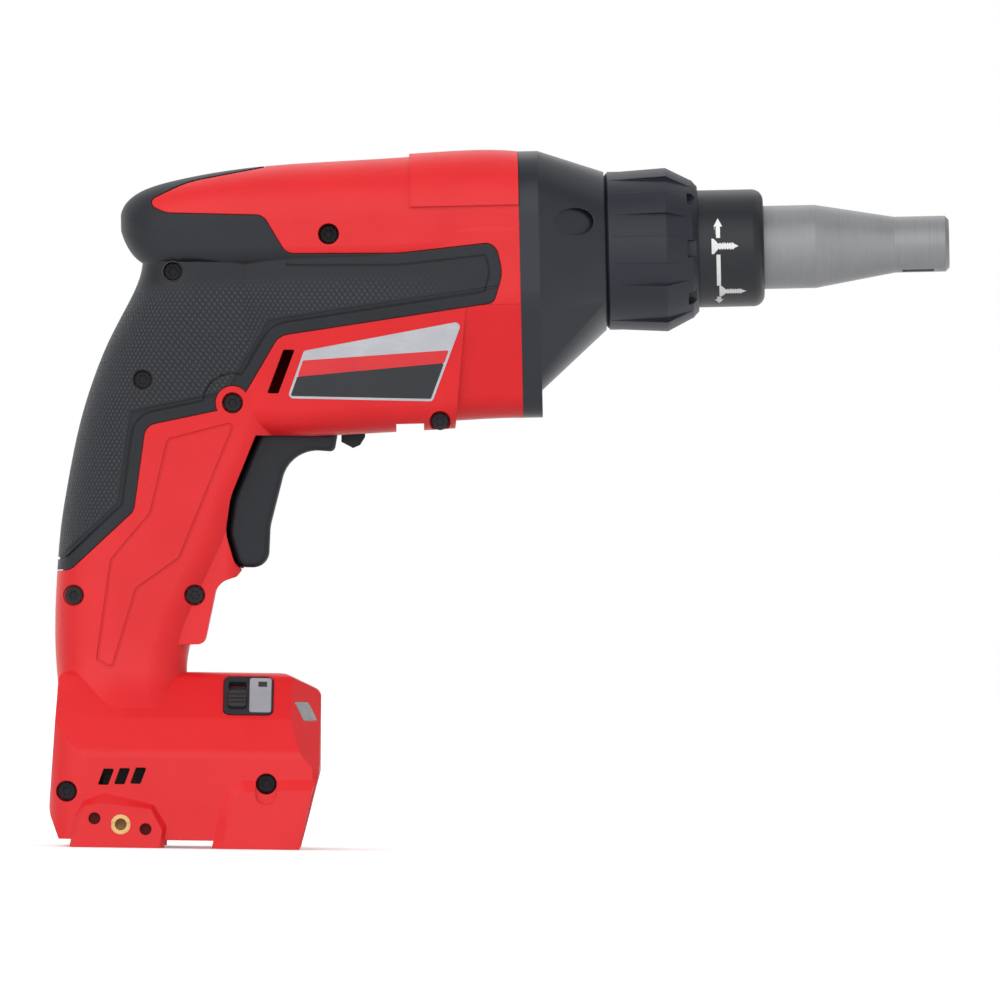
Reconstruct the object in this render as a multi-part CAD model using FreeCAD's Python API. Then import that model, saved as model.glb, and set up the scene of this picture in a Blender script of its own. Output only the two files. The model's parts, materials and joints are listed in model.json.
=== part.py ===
"""Cordless drywall screwdriver, one STEP file per piece, in millimetres.

+X runs toward the nose, +Z is up and the side with the screw heads is -Y.
The spindle line leans nose up over the flat foot.  Pieces of the drive and of
the barrel are drawn on a level spindle line through the origin, where x runs
along the spindle, and are then set on the leaning line by on_spindle().
"""

import math
import os

import FreeCAD
import Part
from FreeCAD import Vector

# Frame and clearances
SPINDLE_HEIGHT = 171.0      # spindle line over the ground, above the origin
SPINDLE_LEAN = 2.0          # degrees, nose up
BACK_REACH = 127.5          # from the origin back to the end of the foot
SEAM_AHEAD = 4.7            # seam of housing and gear case, ahead of the origin
RUNNING_FIT = 0.05          # on the radius, between pieces that turn or slide
SEAT_GAP = 0.12             # between pieces that are fixed to each other
SHELL_GAP = 0.4             # between the housing and the rim of the gear case
MOVING_GAP = 0.4            # between pieces that pass without touching
LEAST_ROUND = 0.4           # smallest corner round left by an inset
OVERRUN = 250.0             # cutters run past the whole tool by this

# Barrel: the upper pod and the belly under it
BARREL_WIDTH = 61.0
BARREL_RISE = 28.0          # top of the pod over the spindle line
SHOULDER_ROUND = 18.0
CREASE_ROUND = 6.0
TOP_BAND_RISE = 0.9         # raised band on top, next to the seam
TOP_BAND_LENGTH = 31.0
TOP_BAND_DROP = 14.5        # from the top of the pod to the lower edge of the band
BELLY_BASE_WIDTH = 44.0
BELLY_DROP = 49.4           # underside of the belly below the spindle line
BELLY_SHOULDER = 14.0       # where the sides start to lean in, below the line
BELLY_COVER = 9.0           # how far the belly reaches up into the pod
BELLY_COVER_ROUND = 3.0
BELLY_SIDE_ROUND = 20.0
BELLY_BASE_ROUND = 9.0
BASE_TRIM = 2.2             # the front of the belly is drawn in by this
TAIL_SHARE = 0.8557         # of BACK_REACH
BELLY_REAR_SHARE = 0.6745   # of BACK_REACH
SHOULDER_LIMIT_SHARES = (0.55, 0.8)     # of a section's height and half width
CREASE_LIMIT_SHARE = 0.3                # of a section's height
# along from tail to seam; top and floor of BARREL_RISE; half width of BARREL_WIDTH
POD_SHARES = (
    (0.0, 0.471, 0.307, 0.066),
    (0.0105, 0.571, 0.186, 0.156),
    (0.034, 0.664, 0.036, 0.238),
    (0.076, 0.746, -0.071, 0.315),
    (0.142, 0.814, -0.107, 0.374),
    (0.256, 0.892, -0.107, 0.426),
    (0.432, 0.953, -0.107, 0.469),
    (0.695, 0.993, -0.107, 0.495),
    (1.0, 1.0, -0.107, 0.5),
)
# along from the belly's rear to the seam; half width; base half width; drop
BELLY_SHARES = (
    (0.0, 0.295, 0.318, 0.89),
    (0.154, 0.410, 0.420, 1.02),
    (0.342, 0.459, 0.477, 1.036),
    (0.617, 0.484, 0.5, 1.02),
    (0.838, 0.495, 0.5, 1.004),
    (1.0, 0.5, 0.5, 1.0),
)
# front zone of the belly that is drawn in: of BACK_REACH and of BELLY_DROP
TRIM_ZONE_SHARES = ((-0.085, -0.3), (0.2, -0.3), (0.2, -1.4), (-0.133, -1.4))
# notch across the underside: start and end of BACK_REACH, roof of BELLY_DROP
NOTCH_SHARES = (-0.2486, -0.1859, -0.976)

# Handle
GRIP_WIDTH = 36.0
GRIP_REAR_ROUND = 17.0
GRIP_FRONT_ROUND = 11.0
GRIP_LIMIT_SHARES = (0.92, 0.7)         # rounds, of a section's half width
# height of SPINDLE_HEIGHT; rear and front of BACK_REACH; half width of GRIP_WIDTH
HANDLE_SHARES = (
    (0.977, 0.808, 0.500, 0.683),
    (0.924, 0.828, 0.490, 0.678),
    (0.877, 0.860, 0.485, 0.655),
    (0.819, 0.896, 0.480, 0.611),
    (0.760, 0.924, 0.480, 0.567),
    (0.690, 0.949, 0.495, 0.522),
    (0.614, 0.968, 0.540, 0.500),
    (0.538, 0.983, 0.578, 0.491),
    (0.456, 0.991, 0.625, 0.491),
    (0.374, 0.994, 0.676, 0.500),
    (0.304, 0.990, 0.6975, 0.525),
    (0.269, 0.985, 0.695, 0.590),
    (0.234, 0.9835, 0.685, 0.705),
    (0.199, 0.985, 0.665, 0.835),
    (0.164, 0.988, 0.640, 0.960),
)
# finger rest under the trigger: outline of BACK_REACH and SPINDLE_HEIGHT, rounds
REST_WIDTH = 30.0
REST_FRONT_ROUND = 5.0
REST_OUTLINE_SHARES = (
    (-0.765, 0.560), (-0.574, 0.560), (-0.577, 0.464), (-0.588, 0.453),
    (-0.631, 0.442), (-0.6575, 0.340), (-0.765, 0.336),
)
REST_ROUND_SHARES = (0.0, 0.0, 0.004, 0.008, 0.03, 0.014, 0.0)     # of SPINDLE_HEIGHT

# Foot
FOOT_WIDTH = 71.0
FOOT_HEIGHT = 50.0
FOOT_BASE_GAP = 2.2         # underside of the foot over the ground, between pads
FOOT_REAR_ROUND = 13.0
# side outline of BACK_REACH and FOOT_HEIGHT, then rounds of FOOT_HEIGHT
FOOT_SIDE_SHARES = (
    (-1.0, 0.2, 0.2), (-0.982, 1.0, 0.06), (-0.477, 1.0, 0.12), (-0.3953, 0.904, 0.06),
    (-0.3953, 0.44, 0.1), (-0.4376, 0.0, 0.0), (-0.97, 0.0, 0.08),
)
# half section of FOOT_WIDTH and FOOT_HEIGHT, then rounds of FOOT_HEIGHT
FOOT_CROSS_SHARES = (
    (0.5, 0.0, 0.0), (0.5, 0.54, 0.1), (0.4, 0.74, 0.08), (0.213, 1.0, 0.12),
)
FOOT_FRONT_ROUND = 4.0
FOOT_PLAN_SHARE = 0.507     # half plan of FOOT_WIDTH
# leaning facet on each front corner, three points of BACK_REACH, FOOT_WIDTH, FOOT_HEIGHT
FACET_SHARES = ((-0.4008, 0.5, 0.438), (-0.4541, 0.4, 0.722), (-0.4557, 0.211, 0.990))
PAD_RISE = 2.5              # side pads stand out of the foot by this
# pad outlines in the side view, of BACK_REACH and FOOT_HEIGHT: at the foot, at the face
HOOK_PAD_BASE_SHARES = (
    (-0.952, 0.0), (-0.940, 0.170), (-0.921, 0.264), (-0.875, 0.310), (-0.765, 0.246), (-0.736, 0.132),
    (-0.740, 0.0),
)
HOOK_PAD_FACE_SHARES = (
    (-0.940, 0.0), (-0.928, 0.170), (-0.918, 0.235), (-0.877, 0.250), (-0.770, 0.220), (-0.745, 0.100),
    (-0.750, 0.0),
)
RAIL_PAD_BASE_SHARES = (
    (-0.634, 0.0), (-0.619, 0.200), (-0.598, 0.370), (-0.568, 0.390), (-0.4030, 0.404), (-0.4376, 0.0),
)
RAIL_PAD_FACE_SHARES = (
    (-0.609, 0.0), (-0.599, 0.170), (-0.580, 0.300), (-0.562, 0.325), (-0.4115, 0.338), (-0.4376, 0.0),
)

# Shell, screws and soft grip
WALL = 3.0
GRIP_SKIN = 1.6             # thickness of the soft grip
GRIP_SEAM = 0.25            # open line around the soft grip
# soft grip in the side view: of BACK_REACH, of SPINDLE_HEIGHT, round of BACK_REACH
GRIP_OUTLINE_SHARES = (
    (-1.15, 1.25, 0.0), (-0.5373, 1.25, 0.0), (-0.5373, 1.137, 0.0), (-0.71, 1.1105, 0.25),
    (-0.8040, 1.0755, 0.012), (-0.755, 1.0595, 0.05), (-0.5380, 1.0577, 0.03),
    (-0.4850, 0.9940, 0.03), (-0.2350, 0.9970, 0.3), (-0.0173, 1.0175, 0.03),
    (0.0, 0.965, 0.08), (-0.0190, 0.9150, 0.02), (-0.4990, 0.8555, 0.04),
    (-0.5900, 0.7370, 0.025), (-0.7950, 0.7030, 0.03), (-0.8188, 0.5602, 0.03),
    (-0.9592, 0.4608, 0.025), (-1.15, 0.4510, 0.0),
)
GRIP_LINE_INSET = 3.2       # sunk line along the border of the soft grip
GRIP_LINE_WIDTH = 0.7
GRIP_LINE_DEPTH = 0.5
GRIP_BAND_SHARES = (-0.4850, 0.970)     # the line stays below and ahead of this corner
# sunk line around a panel on the handle: of BACK_REACH, of SPINDLE_HEIGHT, round of BACK_REACH
PANEL_LINE_SHARES = (
    (-0.5906, 0.7135, 0.012), (-0.7467, 0.6819, 0.016), (-0.7843, 0.5579, 0.024), (-0.8706, 0.4795, 0.024),
    (-0.8996, 0.3111, 0.012), (-0.8612, 0.2936, 0.012), (-0.8094, 0.4292, 0.016), (-0.7137, 0.4813, 0.024),
)
PANEL_LINE_WIDTH = 0.7
PANEL_LINE_DEPTH = 0.35
SCREW_HEAD_RADIUS = 2.4
SCREW_HEAD_HEIGHT = 2.4
SCREW_SHANK_RADIUS = 1.5
SCREW_REACH = 12.0          # of the shank past the middle plane
SCREW_DRIVE_RADIUS = 1.4
SCREW_DRIVE_DEPTH = 1.4
SCREW_DRIVE_SHARE = 0.72    # inner to outer radius of the six-lobed drive
SCREW_DRIVE_LOBES = 6
SCREW_POCKET_CLEARANCE = 0.6
SCREW_BOSS_WALL = 1.8
# screw places of BACK_REACH and SPINDLE_HEIGHT; seat of GRIP_WIDTH from the middle
SCREW_SHARES = (
    (-0.3914, 1.0269, 0.30), (-0.7396, 0.9614, 0.30), (-0.8039, 0.7801, 0.30),
    (-0.6016, 0.7433, 0.30), (-0.9522, 0.4187, 0.26), (-0.6808, 0.4216, 0.26),
    (-0.1365, 0.7165, 0.30), (-0.9600, 0.0924, 0.58), (-0.5137, 0.1088, 0.58),
)
RINGED_SCREW = 3            # this one has a hard ring within the soft grip
RAIL_SCREW = 8              # this one has a sunk run in the rail pad below it
RAIL_RUN_LENGTH = 3.0
RAIL_RUN_DEPTH = 1.6

# Battery slide under the foot
SLIDE_WIDTH = 52.0
SLIDE_HEIGHT = 12.5
SLIDE_REAR_SHARE = 0.878    # of BACK_REACH
RAIL_GROOVE_DEPTH = 3.4
RAIL_GROOVE_BASE = 4.2      # lower face of the groove over the ground
RAIL_GROOVE_HEIGHT = 5.0
SLIDE_ROOF = 2.5
TERMINAL_BLOCK_LENGTH = 22.0
TERMINAL_BLOCK_WIDTH = 34.0
TERMINAL_BLOCK_HEIGHT = 8.5
TERMINAL_BLOCK_ROUND = 2.0
TERMINAL_COUNT = 5
TERMINAL_PITCH = 6.4
TERMINAL_THICKNESS = 0.9
TERMINAL_HEIGHT = 5.0
TERMINAL_LENGTH = 14.0
TERMINAL_ROOT = 4.0         # length of a terminal inside the block
INSERT_RADIUS = 2.85        # brass belt-hook insert
INSERT_BORE_RADIUS = 1.65
INSERT_LENGTH = 7.6
INSERT_SLOT = 0.9           # screwdriver slot across the insert
INSERT_SLOT_DEPTH = 0.7
INSERT_SHARES = (-0.8376, 0.132)        # of BACK_REACH and FOOT_HEIGHT
DIMPLE_RADIUS = 1.7         # locating dimples beside the insert
DIMPLE_DEPTH = 1.8
DIMPLE_SHARES = ((-0.8965, 0.164), (-0.7820, 0.106))

# Vents: leaning slots, centres of BACK_REACH and SPINDLE_HEIGHT
VENT_LEAN_SHARE = 0.36      # sideways lean of a slot, of its height
VENT_ROUND = 0.4
FOOT_VENT_WIDTH = 3.0
FOOT_VENT_HEIGHT = 4.6
FOOT_VENT_SHARES = ((-0.8720, 0.1175), (-0.8360, 0.1187), (-0.8000, 0.1199))
BARREL_VENT_WIDTH = 3.2
BARREL_VENT_HEIGHT = 12.5
BARREL_VENT_SHARES = ((-0.4940, 0.7965),)
VENT_FLOOR_SHARE = 0.27     # inner end of a barrel vent, of BARREL_WIDTH
LEFT_VENT_AHEAD = 9.0       # barrel vent of the left half, ahead of the right one

# Start-mode switch and work light on the foot
MODE_WIDTH = 14.3
MODE_HEIGHT = 15.6
MODE_ROUND = 2.0
MODE_POCKET = 1.8           # depth of the bezel in the foot
MODE_PROUD = 0.35           # of the bezel over the foot
MODE_X_SHARE = 0.557        # centre, of BACK_REACH
MODE_SLOPE_SHARE = 0.5      # centre, along the sloped face
MODE_WINDOW_WIDTH = 5.2
MODE_WINDOW_HEIGHT = 11.0
MODE_WINDOW_SHARE = -0.22   # centre of the window, of MODE_WIDTH
MODE_PLATE_WIDTH = 5.4      # sunk field for the plate beside the window
MODE_PLATE_SHARE = 0.22
MODE_PLATE_DEPTH = 0.3
MODE_TRAVEL = 4.0
MODE_KNOB_HEIGHT = 6.4
MODE_KNOB_PROUD = 0.9
MODE_KNOB_RIBS = 3
MODE_KNOB_RIB_DEPTH = 0.4
MODE_KNOB_RIB_WIDTH = 0.7
LENS_WIDTH = 5.6
LENS_HEIGHT = 6.4
LENS_DEPTH = 2.2
LENS_SHARES = (0.476, 0.80)             # place along the two sides of the facet
LIGHT_BOARD_WIDTH = 8.4
LIGHT_BOARD_HEIGHT = 7.0
LIGHT_BOARD_THICKNESS = 1.2
LIGHT_LED_SIDE = 3.0
LIGHT_LED_HEIGHT = 0.9

# Trigger, switch and reversing lever
TRIGGER_WIDTH = 24.0
TRIGGER_EDGE_ROUND = 1.8
TRIGGER_TRAVEL = 6.0
TRIGGER_GAP = 0.6           # open line between trigger and housing
# trigger outline of BACK_REACH and SPINDLE_HEIGHT, rounds of BACK_REACH
TRIGGER_SHARES = (
    (-0.3655, 0.6980, 0.006), (-0.3725, 0.6642, 0.012), (-0.4720, 0.6685, 0.08),
    (-0.5140, 0.5380, 0.10), (-0.5169, 0.4690, 0.036), (-0.5851, 0.4690, 0.026),
    (-0.6090, 0.5263, 0.08), (-0.5990, 0.5850, 0.11), (-0.5396, 0.6980, 0.015),
)
TRIGGER_REAR_CORNERS = (5, 6, 7, 8)     # of the outline above
TRIGGER_CHEEK_SHARE = 0.6895            # of SPINDLE_HEIGHT: the housing covers the trigger above this
PLUNGER_RADIUS = 2.5
PLUNGER_HEIGHT_SHARE = 0.585            # of SPINDLE_HEIGHT
PLUNGER_RUN = 16.0          # of the plunger behind the trigger
PLUNGER_ROOT = 4.0          # of the plunger inside the trigger
SWITCH_LENGTH = 26.0
SWITCH_WIDTH = 24.0
SWITCH_BASE_SHARE = 0.491   # of SPINDLE_HEIGHT
SWITCH_TOP_SHARE = 0.678
SWITCH_FRONT_SHARE = 0.675  # of BACK_REACH
SWITCH_ROUND = 2.0
RIB = 2.4                   # thickness of inner ribs
WIRE_GATE_LENGTH = 12.0     # opening for wires in the ribs
WIRE_GATE_WIDTH = 16.0
LEVER_PIN_RADIUS = 1.5
LEVER_PIN_SHARE = 0.2667    # of BACK_REACH
LEVER_PIN_LENGTH = 7.0
LEVER_PLATE = 2.6           # thickness of the lever's plate
LEVER_HUB_RADIUS = 4.0
LEVER_TAB_WIDTH = 8.0
LEVER_SWING = 10.0          # degrees to each side
LEVER_BRIDGE = 2.2          # thickness of the bridge that holds the pin's top
# lever tip under the barrel: of BACK_REACH and SPINDLE_HEIGHT
LEVER_TIP_SHARES = ((-0.3576, 0.76), (-0.3576, 0.6808), (-0.3310, 0.6707), (-0.3154, 0.6760),
                    (-0.3043, 0.6895), (-0.3043, 0.76))

# Control module in the foot
MODULE_LENGTH = 42.0
MODULE_WIDTH = 44.0
MODULE_HEIGHT = 10.0
MODULE_ROUND = 3.0
MODULE_REAR_SHARE = 0.90    # of BACK_REACH
MODULE_BASE = 17.5          # over the ground
MODULE_FINS = 8
MODULE_FIN_DEPTH = 2.5

# Motor, on a line below the spindle
TOOTH_MODULE = 0.6
PINION_TEETH = 12
GEAR_TEETH = 40
PRESSURE_ANGLE = 25.0       # degrees
BACKLASH = 0.10             # thinning of each tooth
ADDENDUM_SHARE = 0.95       # of TOOTH_MODULE
DEDENDUM_SHARE = 1.25
FLANK_STEPS = 4
STATOR_RADIUS = 23.0
STATOR_LENGTH = 27.0
STATOR_SLOTS = 6
YOKE_WIDTH = 3.5
STATOR_TOOTH_WIDTH = 5.0
STATOR_SHOE_DEPTH = 1.6
AIR_GAP = 0.5
ROTOR_RADIUS = 12.0
SLOT_OPENING = 2.2
WINDING_OVERHANG = 2.4
WINDING_ROUND = 1.0
SENSOR_BOARD_RADIUS = 19.0
SENSOR_BOARD_HOLE_RADIUS = 9.0
SENSOR_BOARD_THICKNESS = 1.2
SHAFT_RADIUS = 2.5
SHAFT_TIP_RADIUS = 2.0
BEARING_RADIUS = 8.0
BEARING_WIDTH = 5.0
BEARING_BOSS_WALL = 3.0
BEARING_EDGE = 0.5
FAN_RADIUS = 21.0
FAN_WIDTH = 7.5
FAN_DISC = 1.2
FAN_BLADES = 11
FAN_BLADE_THICKNESS = 1.0
FAN_HUB_RADIUS = 5.0
FAN_BLADE_START_SHARE = 0.45            # of FAN_RADIUS
FAN_BLADE_LEAN = 28.0       # degrees
FAN_BEHIND = 6.7            # front of the fan behind the seam
STATOR_BEHIND = 17.7        # front of the stator behind the seam

# Gear case and clutch
CASE_LENGTH = 24.4          # from the seam to the collar
CASE_FLANGE = 5.6
CASE_TAPER_DROP = 39.5
CASE_TAPER_BASE_SHARE = 0.45            # of BELLY_BASE_WIDTH
CASE_ROUND_SHARES = (0.295, 0.328, 0.148)       # shoulder, side, base; of BARREL_WIDTH
CASE_FRONT_ROUND_SHARE = 0.97           # of COLLAR_REAR_RADIUS
CASE_FACE_SHARES = ((1.0, 1.0), (1.0, -0.364), (0.466, -1.0))
CASE_FRONT_WALL = 4.7
SKIRT_LENGTH = 5.0          # rim of the gear case inside the housing
SKIRT_WALL = 2.5
DISH_LENGTH = 11.0          # oval dish on each side
DISH_HEIGHT = 8.0
DISH_DEPTH = 1.6
DISH_SHARES = (0.65, 0.30)  # centre, of CASE_LENGTH past the seam, of BARREL_RISE
PLATE_SCREW_SHARES = ((0.30, 0.50), (-0.30, 0.50), (0.24, -1.10), (-0.24, -1.10))
PLATE_SCREW_RADIUS = 1.5
PLATE_SCREW_HEAD_RADIUS = 2.7
PLATE_SCREW_HEAD_HEIGHT = 1.8
PLATE_SCREW_REACH = 7.0
CHAMBER_CLEARANCE = 1.6     # around the gears
GEAR_WIDTH = 6.0
GEAR_PLAY = 0.5             # ahead of the bearing plate
GEAR_HUB_SHARE = 0.62       # recess between hub and rim, of the gear radius
GEAR_RECESS_DEPTH = 1.2
PINION_OVERHANG = 1.0
DOG_COUNT = 3
DOG_ANGLE = 40.0            # degrees
DOG_INNER_RADIUS = 8.0
DOG_OUTER_RADIUS = 11.4
DOG_HEIGHT = 1.8
CLUTCH_TRAVEL = 2.2
CLUTCH_DISC_RADIUS = 11.8
CLUTCH_DISC = 2.5
WASHER_RADIUS = 10.0
WASHER_THICKNESS = 1.0
SPRING_RADIUS = 6.2         # middle of the flat wire
SPRING_WIRE_WIDTH = 1.2
SPRING_WIRE_THICKNESS = 0.5
SPRING_TURNS = 1.5
SPRING_STEPS = 12           # points of its path in one turn
SPRING_SEAT = 0.2           # clear of the faces at each end

# Spindle and bit holder
SPINDLE_RADIUS = 5.0
SPINDLE_TAIL_RADIUS = 4.0
SPINDLE_TAIL_IN_PLATE = 1.5
SPINDLE_NECK_RADIUS = 3.5
SPINDLE_NECK_LENGTH = 8.0
REAR_BUSH_RADIUS = 6.0
FRONT_BUSH_RADIUS = 8.0
FRONT_BUSH_LENGTH = 15.0
HOLDER_RADIUS = 5.5
HOLDER_LENGTH = 51.0
HOLDER_BEHIND = 20.6        # front of the holder behind the nose tip
HOLDER_GROOVE = 0.6
HOLDER_GROOVE_WIDTH = 2.0
HOLDER_CHAMFER = 0.6
HEX_FLATS = 6.35
HEX_CLEARANCE = 0.08
HEX_DEPTH = 14.0
MAGNET_RADIUS = 2.5
MAGNET_LENGTH = 4.0

# Depth collar, sleeve and nose
COLLAR_REAR_RADIUS = 22.6
COLLAR_PAD_RISE = 1.0       # of the ribs at their front end
COLLAR_STRAIGHT = 17.3      # from the rear face to the end of the ribs
COLLAR_CHAMFER_RADIUS = 19.8
COLLAR_CHAMFER_LENGTH = 7.4
COLLAR_MOUTH_LENGTH = 1.6
COLLAR_REAR_WALL = 2.6
COLLAR_WALL = 0.3           # open line between collar and sleeve
COLLAR_PADS = 10
COLLAR_PAD_ANGLE = 19.0     # degrees
COLLAR_NOTCHES = 8
COLLAR_NOTCH_ANGLE = 14.0   # degrees
COLLAR_NOTCH_LENGTH = 3.0
COLLAR_NOTCH_DEPTH = 1.3
COLLAR_EDGE = 0.8
SPIGOT_RADIUS = 13.2        # tube of the gear case that carries collar and sleeve
SPIGOT_LENGTH = 21.0
SPIGOT_BORE_RADIUS = 9.0
CLIP_WIDTH = 1.2
CLIP_RISE = 2.2
CLIP_DEPTH = 0.8
CLIP_OPENING = 50.0         # degrees
SLEEVE_RADIUS = 16.75
SLEEVE_LENGTH = 36.5
SLEEVE_FRONT_ROUND = 3.3    # length and height of the rounded front edge
SLEEVE_SHOWN = 18.8         # of the sleeve ahead of the collar
NOSE_RADIUS = 11.9
NOSE_PLUG_LENGTH = 13.5     # of the nose inside the sleeve
NOSE_STRAIGHT = 14.7        # ahead of the sleeve
NOSE_TAPER = 22.7
NOSE_TIP_RADIUS = 8.0
NOSE_TIP_LENGTH = 15.6
NOSE_TIP_ROUND = 1.1
NOSE_BORE_RADIUS = 6.5
NOSE_BORE_LENGTH = 18.6
NOSE_WALL = 2.6
NOSE_SLOT_WIDTH = 2.0
NOSE_SLOT_LENGTH = 9.0
NOSE_SLOT_BEHIND = 4.5      # from the tip
NOSE_SLOT_TURN = 18.0       # degrees from straight down, toward the right side
O_RING_RADIUS = 0.9
O_RING_SHARE = 0.6          # place along the plug

# Places along the spindle that follow from the sizes
TAIL = -BACK_REACH * TAIL_SHARE
CASE_FRONT = SEAM_AHEAD + CASE_LENGTH
COLLAR_REAR = CASE_FRONT + COLLAR_WALL
COLLAR_FRONT = COLLAR_REAR + COLLAR_STRAIGHT + COLLAR_CHAMFER_LENGTH + COLLAR_MOUTH_LENGTH
SLEEVE_FRONT = COLLAR_FRONT + SLEEVE_SHOWN
SLEEVE_REAR = SLEEVE_FRONT - SLEEVE_LENGTH
NOSE_TIP = SLEEVE_FRONT + NOSE_STRAIGHT + NOSE_TAPER + NOSE_TIP_LENGTH
HOLDER_FRONT = NOSE_TIP - HOLDER_BEHIND
HOLDER_REAR = HOLDER_FRONT - HOLDER_LENGTH
PLATE_FRONT = SEAM_AHEAD + BEARING_WIDTH
GEAR_REAR = PLATE_FRONT + GEAR_PLAY
GEAR_FRONT = GEAR_REAR + GEAR_WIDTH
CLUTCH_REAR = GEAR_FRONT + DOG_HEIGHT + CLUTCH_TRAVEL + RUNNING_FIT
CLUTCH_FRONT = CLUTCH_REAR + CLUTCH_DISC
CHAMBER_FRONT = CLUTCH_FRONT + WASHER_THICKNESS + RUNNING_FIT
MOTOR_DROP = TOOTH_MODULE * (PINION_TEETH + GEAR_TEETH) / 2
STATOR_FRONT = SEAM_AHEAD - STATOR_BEHIND
STATOR_REAR = STATOR_FRONT - STATOR_LENGTH
BOARD_FRONT = STATOR_REAR - WINDING_OVERHANG - RUNNING_FIT
REAR_BEARING_FRONT = BOARD_FRONT - SENSOR_BOARD_THICKNESS - BEARING_WIDTH
MIDDLE = Vector(0, 0, 0)
ALONG = Vector(1, 0, 0)
ACROSS = Vector(0, 1, 0)
UPWARD = Vector(0, 0, 1)


def on_spindle(shape):
    """Set a shape drawn on the level spindle line onto the leaning one."""
    placed = shape.copy()
    placed.rotate(MIDDLE, ACROSS, -SPINDLE_LEAN)
    placed.translate(UPWARD * SPINDLE_HEIGHT)
    return placed


def rounded_loop(corners, rounds, inset=0.0):
    """Closed flat wire through rounded corners, drawn in by inset on all sides."""
    count = len(corners)
    area = MIDDLE
    for number in range(count):
        area = area + corners[number - 1].cross(corners[number])
    normal = Vector(area).normalize()
    moved = []
    sizes = []
    for number, corner in enumerate(corners):
        before = Vector(corner - corners[number - 1]).normalize()
        after = Vector(corners[(number + 1) % count] - corner).normalize()
        inward = normal.cross(before) + normal.cross(after)
        moved.append(corner + inward * (inset / (1 + before.dot(after))))
        turns_in = before.cross(after).dot(normal) > 0
        shrink = inset if turns_in else -inset
        sizes.append(max(rounds[number] - shrink, LEAST_ROUND) if rounds[number] else 0.0)
    bends = []
    for number, corner in enumerate(moved):
        back = Vector(moved[number - 1] - corner).normalize()
        ahead = Vector(moved[(number + 1) % count] - corner).normalize()
        half = back.getAngle(ahead) / 2
        run = sizes[number] / math.tan(half)
        inner = Vector(back + ahead).normalize()
        crown = corner + inner * (sizes[number] / math.sin(half) - sizes[number])
        bends.append((corner + back * run, crown, corner + ahead * run))
    edges = []
    for number, (start, crown, end) in enumerate(bends):
        if sizes[number]:
            edges.append(Part.Arc(start, crown, end).toShape())
        edges.append(Part.LineSegment(end, bends[(number + 1) % count][0]).toShape())
    return Part.Wire(edges)


def prism(loop, direction):
    """Solid swept from a flat wire along a direction."""
    return Part.Face(loop).extrude(direction)


def side_prism(points, rounds=None, inset=0.0):
    """Solid with a side-view outline of (x, z) points, across the whole tool."""
    corners = [Vector(x, -OVERRUN, z) for x, z in points]
    loop = rounded_loop(corners, rounds or [0.0] * len(points), inset)
    return prism(loop, ACROSS * OVERRUN * 2)


def block(low, high):
    """Box between two opposite corners."""
    size = high - low
    return Part.makeBox(size.x, size.y, size.z, low)


def rod(radius, start, end):
    """Cylinder between two points."""
    run = end - start
    return Part.makeCylinder(radius, run.Length, start, run)


def turned(outline, drop=0.0):
    """Solid of revolution about the spindle line, or a line below it, from (x, r)."""
    points = [Vector(x, 0, r) for x, r in outline]
    loop = Part.makePolygon(points + points[:1])
    solid = Part.Face(loop).revolve(MIDDLE, ALONG, 360)
    solid.translate(UPWARD * -drop)
    return solid


def ring(outer, inner, start, end, drop=0.0):
    """Plain ring about the spindle line, or a line below it."""
    return turned([(start, inner), (start, outer), (end, outer), (end, inner)], drop)


def disc(radius, start, end, drop=0.0):
    """Plain round bar along the spindle line, or a line below it."""
    return rod(radius, Vector(start, 0, -drop), Vector(end, 0, -drop))


def spun(shape, degrees, drop=0.0):
    """Copy turned about the spindle line, or a line below it."""
    copy = shape.copy()
    copy.rotate(Vector(0, 0, -drop), ALONG, degrees)
    return copy


def sector(inner, outer, start, end, angle, centre, drop=0.0):
    """Part of a ring, angle wide, centred at an angle from straight up."""
    outline = [Vector(start, 0, inner), Vector(start, 0, outer), Vector(end, 0, outer), Vector(end, 0, inner)]
    loop = Part.makePolygon(outline + outline[:1])
    solid = Part.Face(loop).revolve(MIDDLE, ALONG, angle)
    solid.rotate(MIDDLE, ALONG, centre - angle / 2)
    solid.translate(UPWARD * -drop)
    return solid


def fuse_all(shapes):
    """One solid from several."""
    return shapes[0].fuse(shapes[1:]).removeSplitter()


def place(x_share, z_share):
    """Point of the side view from shares of the reach and of the spindle height."""
    return (BACK_REACH * x_share, SPINDLE_HEIGHT * z_share)


def across_rod(radius, x, z, start, end):
    """Cylinder along Y at a place of the side view."""
    return rod(radius, Vector(x, start, z), Vector(x, end, z))


# Outer forms of the housing, each drawn in by an inset


def pod(inset):
    """Upper part of the barrel."""
    length = SEAM_AHEAD - TAIL
    sections = []
    for along, top_share, floor_share, wide_share in POD_SHARES:
        ahead = length * along
        if ahead < inset:
            continue
        x = TAIL + ahead
        top = BARREL_RISE * top_share
        floor = BARREL_RISE * floor_share
        half = BARREL_WIDTH * wide_share
        height = top - floor
        shoulder = min(SHOULDER_ROUND, height * SHOULDER_LIMIT_SHARES[0], half * SHOULDER_LIMIT_SHARES[1])
        crease = min(CREASE_ROUND, height * CREASE_LIMIT_SHARE)
        corners = [Vector(x, -half, top), Vector(x, half, top), Vector(x, half, floor),
                   Vector(x, -half, floor)]
        sections.append(rounded_loop(corners, [shoulder, shoulder, crease, crease], inset))
    return on_spindle(Part.makeLoft(sections, True))


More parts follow.
